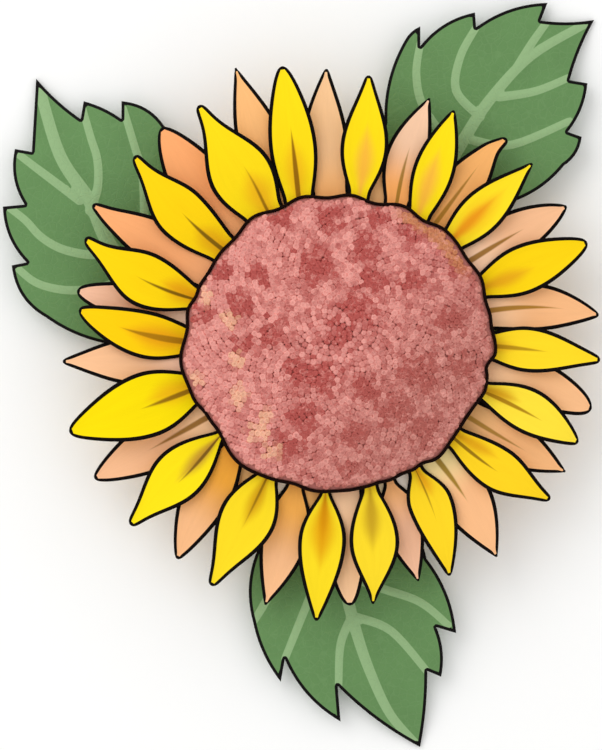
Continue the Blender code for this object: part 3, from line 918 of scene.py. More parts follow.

# The broad lenses near each petal's base are partly its warm tone and partly painted shade near the
# disc.
FRONT_PETALS = (
    Petal(21, 22, 133, 24, belly=0.4, base=0.47, taper=1.1, blunt=0.25, paint=PetalPaint(
        "FCD40C", strokes=(warmth_and_base_shade("E8A417", 0.85, end=0.62, width=0.3, place=0.55),),
    )),
    Petal(42, 43, 131, 21, belly=0.35, base=0.6, taper=1.3, blunt=0.1, paint=PetalPaint(
        "FEDF22", strokes=(
            warmth_and_base_shade("F8BC20", 0.8, end=0.8, width=0.42),
            warmth_and_base_shade("EE9718", 0.95, end=0.68, width=0.24, place=0.47),
        ),
    )),
    Petal(56, 64, 129, 20, belly=0.4, base=0.56, blunt=0.1, paint=PetalPaint(
        "FFE014", strokes=(warmth_and_base_shade("FCBB3E", 0.95, end=0.75, width=0.36, place=0.47),),
    )),
    Petal(83, 84, 134, 23, base=0.44, taper=1.5, blunt=0.18, bow=-1, paint=PetalPaint(
        "FFDF14", strokes=(warmth_and_base_shade("FCBB3E", 0.95, end=0.7, width=0.32, place=0.53),),
    )),
    Petal(108.2, 102, 141, 23, base=0.62, blunt=0.25, bow=-0.6, paint=PetalPaint(
        "FFDE13", strokes=(
            warmth_and_base_shade("F3B11A", 0.7, end=0.6, width=0.4),
            streak("8A5A08", 0.62, width=0.085, strength=0.9),
        ),
    )),
    Petal(120.5, 121, 138, 32, belly=0.34, base=0.6, taper=2.3, blunt=0.18, paint=PetalPaint(
        "FFDD14", strokes=(
            warmth_and_base_shade("F0AD18", 0.75, end=0.5, width=0.4, place=0.6),
            streak("7E5408", 0.52, place=0.6, width=0.05),
        ),
    )),
    Petal(141, 138, 139, 26, belly=0.42, base=0.6, taper=2.3, blunt=0.22, bow=4, paint=PetalPaint(
        "FFD40C", strokes=(
            warmth_and_base_shade("E6A411", 0.8, end=0.42, width=0.5),
            streak("74560A", 0.52, place=0.47, lean=0.05, width=0.075, strength=0.9),
        ),
    )),
    Petal(163, 158, 138, 27, belly=0.42, base=0.42, taper=2.3, blunt=0.22, bow=5, paint=PetalPaint(
        "FFD60A", strokes=(
            warmth_and_base_shade("ECA010", 0.85, end=0.45, width=0.5, place=0.6),
            streak("7A5808", 0.6, place=0.48, width=0.065, strength=0.95),
        ),
    )),
    Petal(180.5, 173, 132, 23, belly=0.36, base=0.6, blunt=0.25, bow=4, paint=PetalPaint(
        "FFCF07", strokes=(
            warmth_and_base_shade("EDA010", 0.9, end=0.72, width=0.42),
            streak("9C6C0A", 0.7, width=0.1, strength=0.8),
        ),
    )),
    Petal(197, 198.4, 143, 32, base=0.45, taper=1.15, blunt=0.22, paint=PetalPaint(
        "FCE002", strokes=(
            warmth_and_base_shade("EFB010", 0.8, end=0.52, width=0.36, place=0.56),
            streak("8A600E", 0.54, width=0.075, place=0.47, strength=0.9),
        ),
    )),
    Petal(217, 221, 139.5, 26, belly=0.45, base=0.15, taper=1.9, blunt=0.22, bow=-1, paint=PetalPaint(
        "FFE414", strokes=(
            warmth_and_base_shade("C08A30", 0.9, end=0.62, width=0.3, place=0.45),
            streak("74521A", 0.6, width=0.075, place=0.4, strength=0.9),
        ),
    )),
    Petal(240.6, 242, 138, 28, base=0.32, taper=1.8, blunt=0.2, bow=0.9, paint=PetalPaint(
        "FCDC22", strokes=(
            warmth_and_base_shade("D39A10", 0.9, end=0.6, width=0.26),
            streak("82600C", 0.56, width=0.055),
        ),
    )),
    Petal(264, 265, 140, 23, base=0.15, taper=1.2, paint=PetalPaint(
        "FADB20", strokes=(
            warmth_and_base_shade("E5A008", 0.95, end=0.72, width=0.42),
            warmth_and_base_shade("D48A02", 0.7, end=0.5, width=0.25),
        ),
    )),
    Petal(282, 277, 132, 24, belly=0.45, base=0.32, taper=1.5, blunt=0.08, bow=2, paint=PetalPaint(
        "FAD928", strokes=(warmth_and_base_shade("B88C1C", 0.75, end=0.66, width=0.34, place=0.54),),
    )),
    Petal(300.7, 295, 129, 22, belly=0.3, base=0.34, taper=1.15, bow=3, paint=PetalPaint(
        "FCD522", strokes=(
            warmth_and_base_shade("EDA214", 0.8, end=0.42, width=0.4, place=0.4),
            streak("8A650C", 0.6, width=0.05),
        ),
    )),
    Petal(320, 323, 131, 22, belly=0.45, base=0.52, taper=1.7, blunt=0.2, bow=-2, paint=PetalPaint(
        "FCD21E", strokes=(
            warmth_and_base_shade("E0A012", 0.85, end=0.55, width=0.3, place=0.3),
            streak("8A640C", 0.58, place=0.55, width=0.08, strength=0.9),
        ),
    )),
    Petal(341, 337, 129, 22, belly=0.45, base=0.42, taper=1.1, blunt=0.2, bow=3, paint=PetalPaint(
        "FEE03A", strokes=(
            warmth_and_base_shade("D49A14", 0.9, end=0.5, width=0.4, place=0.4),
            streak("A4740C", 0.7, place=0.55, width=0.085, strength=0.9),
        ),
    )),
    Petal(359, 356, 130, 22, belly=0.33, base=0.62, taper=1.5, blunt=0.22, bow=1, paint=PetalPaint(
        "FFDA24", strokes=(
            warmth_and_base_shade("E9AE1E", 0.7, end=0.42, width=0.3),
            streak("A87C10", 0.62, width=0.08, strength=0.8),
        ),
    )),
)

# The orange roots are the petals' own colour; the roots paler than their blades are painted light
# against the shade that the upper ring casts over the bases.
BACK_PETALS = (
    Petal(12, 6, 130, 23, base=0.8, bow=4, paint=PetalPaint(
        "FBBD87", root="FFD0A4", strokes=(streak("A47210", 0.76, width=0.075, strength=0.9),),
    )),
    Petal(32, 31, 132, 23, base=0.8, taper=0.85, blunt=0.1, bow=1, paint=PetalPaint(
        "F9BF92", root="FFD4B0", strokes=(streak("946410", 0.66, width=0.08, strength=0.9),),
    )),
    Petal(51, 52.2, 131.5, 21, belly=0.42, base=0.8, taper=1.7, blunt=0.24, hook=-2.8, paint=PetalPaint(
        "FAB56C", strokes=(
            warmth_and_base_shade("E09A48", 0.6, end=0.4, width=0.5),
            streak("9A6C14", 0.74, width=0.07),
        ),
    )),
    Petal(65.4, 70, 130, 21, base=0.58, blunt=0.06, bow=3, paint=PetalPaint(
        "F9CBA8", root="FDAE62", root_end=0.55, strokes=(streak("8E6A10", 0.62, width=0.08),),
    )),
    Petal(93, 93, 137, 22, base=0.8, taper=1.2, blunt=0.12, bow=2.5, paint=PetalPaint(
        "F9C896", root="FDB870", root_end=0.4,
    )),
    Petal(112, 111, 147, 23.5, base=0.8, taper=1.15, blunt=0.05, bow=1, paint=PetalPaint(
        "FDBE7C", root="FCB86C",
    )),
    Petal(132, 130, 140, 28, belly=0.42, base=0.7, taper=0.95, blunt=0.2, bow=2.5, paint=PetalPaint(
        "FEAD70", root="F6B074", root_end=0.3,
    )),
    Petal(152, 151.5, 142, 23, base=0.8, taper=1.4, blunt=0.2, hook=-1, paint=PetalPaint(
        "FEAF74", root="F8B680", root_end=0.25,
    )),
    Petal(171, 169, 134.5, 21, base=0.8, blunt=0.3, paint=PetalPaint("F8C2A2", root="FFDABC")),
    Petal(188, 184, 139.5, 24, base=0.8, taper=1.3, paint=PetalPaint("FBC395", root="FFCEB0")),
    Petal(209, 209, 141, 26, base=0.75, blunt=0.2, paint=PetalPaint(
        "F9BE92", root="FFCE9C", strokes=(
            streak("94641A", 0.62, width=0.075, place=0.47, strength=0.9),
        ),
    )),
    Petal(223, 233, 136, 24, base=0.46, blunt=0.16, bow=-2.4, paint=PetalPaint(
        "FABD88", root="F3A83C", root_end=0.66,
    )),
    Petal(250.9, 254, 137, 23.5, base=0.32, blunt=0.06, bow=1.8, paint=PetalPaint(
        "FDC18E", root="FAB254", root_end=0.6,
    )),
    Petal(272, 272, 132, 21, base=0.8, blunt=0.3, bow=-1, paint=PetalPaint(
        "FCCA9C", root="FCCFA4", root_end=0.45,
    )),
    Petal(290, 288, 126, 21, belly=0.3, base=0.27, blunt=0.06, paint=PetalPaint(
        "FBC3A0", root="FCB878", root_end=0.5,
    )),
    Petal(309, 306, 133, 26, base=0.75, blunt=0.05, bow=3, paint=PetalPaint(
        "FCBF8A", root="FCEBA4", root_end=0.4, strokes=(
            streak("98760F", 0.56, place=0.5, width=0.08, strength=0.9),
        ),
    )),
    Petal(330, 330, 130, 23, base=0.8, blunt=0.05, bow=-1, paint=PetalPaint(
        "FBBD84", root="E8B474", root_end=0.4, strokes=(streak("9C7212", 0.68, width=0.07),),
    )),
    Petal(349, 345, 130, 23, base=0.8, taper=0.9, blunt=0.3, bow=3, paint=PetalPaint(
        "FBC08C", root="FDCB9C",
    )),
)

# Short petals under the lower ring, and the lower ring's petal that each one grows beside.
# Their colours are lighter and more saturated than the petals' own: painted light against the deep shade
# that they lie in.
TUCKED_PETALS = (
    Petal(75.8, 76, 92, 15, inner=71.5, base=0.9, paint=PetalPaint("FFC484")),
    Petal(234.2, 233.8, 97, 17, inner=71.5, base=0.9, paint=PetalPaint("FFCC88")),
    Petal(246.4, 247, 91, 12, inner=71.5, base=0.9, paint=PetalPaint("FFF4E0")),
    Petal(259.2, 258.4, 97, 17, inner=71.5, base=0.9, paint=PetalPaint("FFC070")),
    Petal(285.2, 284.8, 91, 12, inner=71.5, base=0.9, paint=PetalPaint("FCE8BC")),
    Petal(294.2, 294, 91, 12, inner=71.5, base=0.9, paint=PetalPaint("FCF2E4")),
)
TUCKED_BESIDE = (4, 12, 13, 13, 15, 15)


# ---------------------------------------------------------------------------------------------
# Seed disc


@dataclass(frozen=True)
class Floret:
    """The sizes of one floret in the disc, in millimetres."""

    radius: float = 1.95
    height: float = 2.6
    shoulder: float = 0.5
    shoulder_drop: float = 0.6
    crown: float = 0.45
    crown_drop: float = 0.22
    mouth: float = 0.3
    mouth_depth: float = 0.35
    sides: int = 6

    def model(self, name: str) -> bpy.types.Object:
        """Models the floret: a short tube with a rounded shoulder, a low crown and a sunken mouth."""
        Bench.clear()
        bpy.ops.mesh.primitive_cylinder_add(
            vertices=self.sides, radius=self.radius * MM, depth=self.height * MM,
            location=(0, 0, -self.height / 2 * MM),
        )
        made = bpy.context.object
        bpy.ops.object.transform_apply(location=True)
        Bench.rename(made, name)
        Bench.edit(made)
        Bench.pick_faces(made, lambda face: face.normal.z > 0.5)
        Bench.move(z=-self.shoulder_drop - self.crown_drop)
        steps = (
            (self.shoulder, self.shoulder_drop), (self.crown, self.crown_drop),
            (self.mouth, -self.mouth_depth),
        )
        for inset, rise in steps:
            bpy.ops.mesh.inset(thickness=inset * MM, depth=0)
            Bench.move(z=rise)
        bpy.ops.object.mode_set(mode="OBJECT")
        Bench.smooth(made)
        return made


@dataclass(frozen=True)
class DiscColours:
    """How the florets' colours change over the disc, with painted light towards the upper left and
    painted shade towards the lower right.
    """

    dark: str = "B4524C"
    middle: str = "CF7F77"
    light: str = "E89C92"
    straw: str = "F3BE98"
    painted_shade_brown: str = "A96A5E"
    ochre: str = "C98256"
    grain: float = 5.0  # how far apart the soft changes of tone lie
    grain_gain: float = 1.2
    spread: float = 0.27  # how much one floret's tone differs from the next
    light_tones: tuple[float, float] = (-0.1, 0.45)
    dark_tones: tuple[float, float] = (0.1, 0.5)
    dark_share: float = 0.55
    # Painted light: paler towards the left and a little up, on the lit side.
    painted_light_side: tuple[float, float] = (10, 75)  # towards the left and a little up
    painted_light_slope: float = 0.3
    painted_light_share: float = 0.45
    # Painted shade: darker and browner towards the lower right, away from the light.
    painted_shade_side: tuple[float, float] = (-5, 80)  # towards the lower right
    painted_shade_slope: float = 0.8
    painted_shade_share: float = 0.48
    crescent: tuple[float, float] = (67.0, 69.0)  # the radii where the ochre one fades in
    crescent_start: tuple[float, float] = (24, 36)
    crescent_end: tuple[float, float] = (60, 72)
    ochre_share: float = 0.92
    ragged: float = 4.0
    finely_ragged: float = 2.0
    raggedness: float = 0.95
    dark_softness: float = 0.22
    straw_softness: float = 0.3
    straw_share: float = 0.7
    dark_patches: tuple[tuple[float, float, float], ...] = (  # x, y and radius
        (-40, 34, 6), (-13, 38, 9), (-5, 61, 6), (13, 48, 7), (35, 31, 6), (7, 16, 9), (0, 4, 7),
        (-34, 4, 7), (-20, -16, 8), (-9, -19, 7), (12, -24, 7), (-18, -38, 8), (-27, -52, 7),
        (60, 38, 6), (40, -16, 9), (27, -34, 8), (-50, 18, 7), (-69, 14, 5), (7, -47, 6),
        (-30, 63, 6), (55, 11, 7), (42, -44, 7), (15, 31, 6), (-48, -2, 5), (18, 62, 5),
        (-60, 36, 5), (62, -12, 6), (4, -64, 5), (36, 55, 5),
    )
    straw_patches: tuple[tuple[float, float, float], ...] = (
        (-52, -9, 4), (-51, -27, 4.5), (-42, -46, 5), (-68, 23, 4), (-56, 12, 4), (-72, -18, 4),
        (-38, -37, 4), (-35, -55, 4),
    )

    def inside(self, spot: Vector, patches: Sequence[Sequence[float]], soft: float) -> float:
        """How far inside the nearest of some ragged patches a place lies, from 0 outside to 1."""
        ragged = noise.noise(Vector((spot.x / self.ragged, spot.y / self.ragged, 5.0)))
        fine = Vector((spot.x / self.finely_ragged, spot.y / self.finely_ragged, 9.0))
        ragged += 0.5 * noise.noise(fine)
        best = 0.0
        for x, y, radius in patches:
            off = math.hypot(spot.x - x, spot.y - y) / radius + self.raggedness * ragged
            best = max(best, 1 - ease(off, 1 - soft, 1 + soft))
        return best

    def at(self, x: float, y: float, chance: random.Random) -> tuple[float, ...]:
        """The colour of one floret.

        Args:
            x: its place in millimetres from the disc's middle, to the right.
            y: the same, upwards.
            chance: where its own share of chance is drawn from.

        Returns:
            Its linear colour.
        """
        spot = Vector((x, y))
        dark = shade(self.dark)
        small = noise.fractal(Vector((x / self.grain, y / self.grain, 3.1)), 1.0, 2.0, 3)
        tone = small * self.grain_gain + chance.uniform(-self.spread, self.spread)
        colour = blend_of(shade(self.middle), shade(self.light), ease(tone, *self.light_tones))
        colour = blend_of(colour, dark, self.dark_share * ease(-tone, *self.dark_tones))
        # Painted light, paler towards the upper left.
        pale = ease(-x + self.painted_light_slope * y, *self.painted_light_side)
        colour = blend_of(colour, shade(self.light), self.painted_light_share * pale)
        patch = self.inside(spot, self.dark_patches, self.dark_softness)
        colour = blend_of(colour, dark, patch)
        straw = self.inside(spot, self.straw_patches, self.straw_softness)
        colour = blend_of(colour, shade(self.straw), self.straw_share * straw)
        # Painted shade, darker and browner towards the lower right.
        painted_shade_brown = ease(x - self.painted_shade_slope * y, *self.painted_shade_side)
        colour = blend_of(colour, shade(self.painted_shade_brown), self.painted_shade_share * painted_shade_brown)
        radius, angle = math.hypot(x, y), math.degrees(math.atan2(y, x)) % 360
        crescent = ease(radius, *self.crescent) * ease(angle, *self.crescent_start)
        crescent *= 1 - ease(angle, *self.crescent_end)
        return blend_of(colour, shade(self.ochre), self.ochre_share * crescent)


@dataclass(frozen=True)
class FloretFinish:
    """Each floret's own rose tone, with its painted shade and light, fine flecks and blots, soft and
    matt.
    """

    pale: str = "EFA89D"
    pale_blots: tuple[float, float] = (0.5, 0.66)
    dark: str = "AA4E49"
    dark_blots: tuple[float, float] = (0.47, 0.33)
    blot_scale: float = 330.0
    blot_share: float = 0.5
    fleck_scale: float = 700.0
    fleck_light: tuple[float, float] = (0.6, 0.8)
    fleck_height: float = 0.25
    fleck_strength: float = 0.6
    roughness: float = 0.75
    specular: float = 0.25

    def material(self) -> bpy.types.Material:
        """The finish as a material, which reads the florets' tone attribute, painted shade and light
        included.
        """
        made, easel, shader = new_material("floret_finish", self.roughness, self.specular)
        place = easel.place()
        flecks = easel.speckle(place, self.fleck_scale, detail=4.0, roughness=0.75)
        blots = easel.speckle(place, self.blot_scale, detail=5.0, roughness=0.72)
        colour = easel.attribute("tone_with_painted_shade", "Color")
        for code, blotted in ((self.pale, self.pale_blots), (self.dark, self.dark_blots)):
            share = easel.maths("MULTIPLY", easel.step(blots, *blotted), self.blot_share)
            colour = easel.mix(share, colour, shade(code))
        least, gain = self.fleck_light
        light = easel.maths("ADD", least, easel.maths("MULTIPLY", flecks, gain))
        easel.feed(shader.inputs["Base Color"], easel.dim(colour, light))
        relief = easel.relief(flecks, self.fleck_height, self.fleck_strength)
        easel.feed(shader.inputs["Normal"], relief)
        return made


@dataclass
class SeedDisc:
    """The disc: a domed bed, florets packed in spirals, and the dark wavy rim that holds them."""

    radius: float = 75.6
    stretch: float = 2.0
    left_shift: float = 0.8
    waves: int = 18
    wave_height: float = 1.1
    swells: tuple[tuple[float, float, float], ...] = (  # uneven growth: angle, rise, spread in degrees
        (5.5, -2.0, 4), (37, 1.4, 6), (50, 1.1, 5), (80, -1.5, 8), (146, -3.0, 9), (163, -2.6, 4),
        (193, 2.8, 8), (207, -1.8, 4), (234, 4.5, 8), (257, 2.5, 6), (274, 1.8, 5), (285, -1.8, 4),
        (304, -2.2, 3.5), (313, 1.5, 5), (326, -3.3, 7), (346, -2.0, 4), (351, -3.0, 3), (355, 2.3, 5),
    )
    crown: float = 53.0
    shoulder: float = 44.0
    dimple: float = 1.2
    turn: float = 4.0  # how far inside the rim the dome turns down
    turn_run: float = 3.0
    turn_drop: float = 2.2
    turn_power: float = 1.5

    floor: float = 36.3
    bed_sides: int = 144
    bed_foot: float = 5.0  # how far the bed's floor stays inside the rim
    # The rings of the bed's wall: how far inside the rim and how far above the bed's floor.
    bed_wall: tuple[tuple[float, float], ...] = ((1.2, 1.2), (0.6, 3.0))
    bed_edge: float = 1.6
    bed_step: float = 6.4
    bed_rings: int = 11
    bed_depth: float = 1.9  # below the florets' tops

    florets: int = 2400
    golden_angle: float = 137.508
    seed: int = 11
    planted_inset: float = 2.1
    buds: float = 0.28  # the share of the radius that holds florets still in bud
    stray: float = 0.35
    growth: tuple[float, float] = (0.86, 1.16)
    sinking: tuple[float, float] = (-0.2, 0.1)
    twist: float = 0.3  # radians
    oval: float = 1.05
    mouth_reach: float = 0.7
    # Painted shade in each floret's mouth and towards its foot, and painted light on its crown, as
    # factors on its colour.
    painted_mouth_shade: float = 0.93
    painted_crown_light: float = 1.03
    painted_foot_shade: float = 0.2

    rim_height: float = 40.6
    rim_inset: float = 0.2
    rim_radius: float = 0.8
    rim_stretch: float = 1.3
    rim_points: int = 8  # for each wave

    colours: DiscColours = DiscColours()
    floret_finish: FloretFinish = FloretFinish()
    bed_finish: SpeckledFinish = SpeckledFinish("disc_bed_finish", "B4655D", "C97F76", 260.0, 700.0, 0.3)
    rim_finish: SpeckledFinish = SpeckledFinish(
        "disc_rim_finish", "0C0403", "1C0B08", 500.0, 500.0, 0.2, specular=0.06
    )

    def outline(self, angle: float) -> float:
        """Radius of the wavy rim at an angle in radians, as a share of the mean radius."""
        radius = self.radius + self.stretch * math.cos(2 * angle) - self.left_shift * math.cos(angle)
        for place, rise, spread in self.swells:
            off = (math.degrees(angle) - place + 180) % 360 - 180
            radius += rise * math.exp(-((off / spread) ** 2))
        return (radius + self.wave_height * math.sin(self.waves * angle)) / self.radius

    def dome(self, radius: float) -> float:
        """Height of the florets' tops at a distance from the middle, before the rim's waves."""
        share = min(1.0, radius / (self.radius - self.turn))
        top = self.shoulder + (self.crown - self.shoulder) * math.cos(share * math.pi / 2)
        past = max(0.0, radius - (self.radius - self.turn)) / self.turn_run
        drop = self.turn_drop * past**self.turn_power
        return top - self.dimple * (1 - share) ** 2 - drop

    def bed(self) -> None:
        """The domed bed under the florets, closed below, made ring by ring from one circle."""
        Bench.clear()
        level, size = self.floor, self.radius - self.bed_foot
        bpy.ops.mesh.primitive_circle_add(
            vertices=self.bed_sides, radius=size * MM, location=(0, 0, level * MM)
        )
        made = bpy.context.object
        bpy.ops.object.transform_apply(location=True)
        Bench.edit(made)
        bpy.ops.mesh.select_all(action="SELECT")
        bpy.ops.mesh.edge_face_add()
        bpy.ops.mesh.select_all(action="SELECT")
        bpy.ops.mesh.select_mode(type="EDGE")
        rings = [(self.radius - inset, self.floor + rise) for inset, rise in self.bed_wall]
        for number in range(self.bed_rings):
            out = self.radius - self.bed_edge - self.bed_step * number
            rings.append((out, self.dome(out) - self.bed_depth))
        Bench.pick_faces(made, lambda face: True)
        for radius, height in rings:
            rise = {"value": (0, 0, (height - level) * MM)}
            bpy.ops.mesh.extrude_region_move(TRANSFORM_OT_translate=rise)
            Bench.scale(radius / size, radius / size, about=(0, 0, height * MM))
            level, size = height, radius
        bpy.ops.mesh.poke()
        bpy.ops.mesh.select_all(action="SELECT")
        bpy.ops.mesh.normals_make_consistent(inside=False)
        bpy.ops.object.mode_set(mode="OBJECT")
        self.wave(made)
        Bench.rename(made, "seed_disc_bed")
        Bench.smooth(made, 60)
        made.data.materials.append(self.bed_finish.material())
        hand_over(made, Slot.FLORETS, "seed_disc")

    def wave(self, piece: bpy.types.Object) -> None:
        """Gives a round piece the rim's waves, less and less towards the middle."""
        for vertex in piece.data.vertices:
            share = self.outline(math.atan2(vertex.co.y, vertex.co.x))
            vertex.co.x *= share
            vertex.co.y *= share

    def plant(self) -> None:
        """The florets: three modelled forms, copied along the spirals and coloured one by one, with
        painted shade in each mouth and towards each foot and painted light on each crown.
        """
        chance = random.Random(self.seed)
        bud, *grown = forms = [
            Floret(radius=1.85, crown=0.4, mouth_depth=0.1).model("bud"),
            Floret().model("floret"),
            Floret(radius=2.05, crown=0.3, mouth=0.35, mouth_depth=0.45).model("open_floret"),
        ]
        gathered = bmesh.new()
        floret_tones_with_painted_shade: list[tuple[float, ...]] = []
        for number in range(self.florets):
            share = math.sqrt((number + 0.5) / self.florets)
            angle = math.radians(number * self.golden_angle)
            radius = share * (self.radius - self.planted_inset)
            wavy = radius * self.outline(angle) + chance.uniform(-self.stray, self.stray)
            angle += chance.uniform(-self.stray, self.stray) / max(4.0, radius)
            fall = self.dome(radius + 0.5) - self.dome(max(0, radius - 0.5))
            form = bud if share < self.buds else chance.choice((grown[0], grown[0], grown[1]))
            grow = chance.uniform(*self.growth)
            x, y = wavy * math.cos(angle), wavy * math.sin(angle)
            top = self.dome(radius) + chance.uniform(*self.sinking)
            place = (
                Matrix.Translation(Vector((x, y, top)) * MM)
                @ Matrix.Rotation(angle, 4, "Z")
                @ Matrix.Rotation(-math.atan(fall), 4, "Y")
                @ Matrix.Rotation(chance.uniform(-self.twist, self.twist), 4, "Z")
                @ Matrix.Diagonal((self.oval * grow, grow, 1, 1))
            )
            copy = form.data.copy()
            copy.transform(place)
            gathered.from_mesh(copy)
            bpy.data.meshes.remove(copy)
            colour = self.colours.at(x, y, chance)
            deepest = min(v.co.z for v in form.data.vertices)
            # Painted shade and light: darker in the mouth and towards the foot, lighter on the crown.
            for vertex in form.data.vertices:
                inner = math.hypot(vertex.co.x, vertex.co.y) / MM < self.mouth_reach
                low = vertex.co.z / deepest
                light = self.painted_mouth_shade if inner else self.painted_crown_light - self.painted_foot_shade * low
                floret_tones_with_painted_shade.append(tuple(c * light for c in colour[:3]) + (1.0,))
        mesh = bpy.data.meshes.new("seed_disc_florets")
        gathered.to_mesh(mesh)
        gathered.free()
        layer = mesh.attributes.new("tone_with_painted_shade", "FLOAT_COLOR", "POINT")
        layer.data.foreach_set("color", np.asarray(floret_tones_with_painted_shade, dtype=np.float32).ravel())
        piece = bpy.data.objects.new("seed_disc_florets", mesh)
        bpy.context.scene.collection.objects.link(piece)
        for form in forms:
            Bench.bin(form)
        piece.data.materials.append(self.floret_finish.material())
        hand_over(piece, Slot.FLORETS, "seed_disc")

    def rim(self) -> None:
        """The thin dark rim that runs round the disc in shallow waves."""
        count = self.waves * self.rim_points
        route = []
        for number in range(count):
            angle = math.tau * number / count
            reach = (self.radius - self.rim_inset) * self.outline(angle)
            spot = polar(reach, math.degrees(angle))
            route.append(Vector((spot.x, spot.y, self.rim_height)))
        sizes = [self.rim_radius] * count
        made = Bench.tube("seed_disc_rim", route, sizes, closed=True, sides=3, steps=2)
        Bench.edit(made)
        bpy.ops.mesh.select_all(action="SELECT")
        Bench.scale(z=self.rim_stretch, about=(0, 0, self.rim_height * MM))
        bpy.ops.object.mode_set(mode="OBJECT")
        Bench.smooth(made)
        made.data.materials.append(self.rim_finish.material())
        hand_over(made, Slot.FLORETS, "seed_disc")

    def build(self) -> None:
        """Makes the bed, the florets and the rim."""
        self.bed()
        self.plant()
        self.rim()


# ---------------------------------------------------------------------------------------------
# Leaves


@dataclass(frozen=True)
class LeafFinish:
    """Matt leaf green with paler veins, a fine net between them and a thin dark margin."""

    name: str = "leaf_blade_finish"
    green: str = "658C56"
    patches: float = 0.25
    net: str = "7FA26E"
    net_scale: float = 260.0
    net_width: float = 0.10
    net_share: float = 0.16
    net_depth: float = 0.6
    vein: str = "92B380"
    vein_edge: tuple[float, float] = (-0.03, 0.06)
    margin_edge: tuple[float, float] = (1.35, 1.75)  # millimetres from the margin
    grain_height: float = 0.5
    relief_height: float = 0.25
    relief_strength: float = 0.6
    roughness: float = 0.6
    specular: float = 0.12

    def material(self) -> bpy.types.Material:
        """The finish as a material, made on first use. It reads two attributes of the blade."""
        known = bpy.data.materials.get(self.name)
        if known:
            return known
        made, easel, shader = new_material(self.name, self.roughness, self.specular)
        place = easel.place()
        skin = Effects.place(
            easel, "plant_skin", Vector=place, Color=shade(self.green), Patches=self.patches
        ).outputs
        net = easel.add("ShaderNodeTexVoronoi", feature="DISTANCE_TO_EDGE")
        easel.feed(net.inputs["Vector"], place)
        net.inputs["Scale"].default_value = self.net_scale
        threads = easel.step(net.outputs["Distance"], self.net_width, 0.0)
        netted = easel.maths("MULTIPLY", threads, self.net_share)
        lamina = easel.mix(netted, skin["Color"], shade(self.net))
        vein = easel.step(easel.attribute("vein_depth"), *self.vein_edge)
        veined = easel.mix(vein, lamina, shade(self.vein))
        within = easel.step(easel.attribute("rim_distance"), *self.margin_edge)
        margin = easel.maths("SUBTRACT", 1.0, within)
        edged = Effects.place(easel, "dried_margin", Color=veined, Margin=margin)
        easel.feed(shader.inputs["Base Color"], edged.outputs["Color"])
        sunk = easel.maths("MULTIPLY", threads, -self.net_depth)
        grain = easel.maths("MULTIPLY", skin["Height"], self.grain_height)
        height = easel.maths("ADD", sunk, grain)
        relief = easel.relief(height, self.relief_height, self.relief_strength)
        easel.feed(shader.inputs["Normal"], relief)
        return made


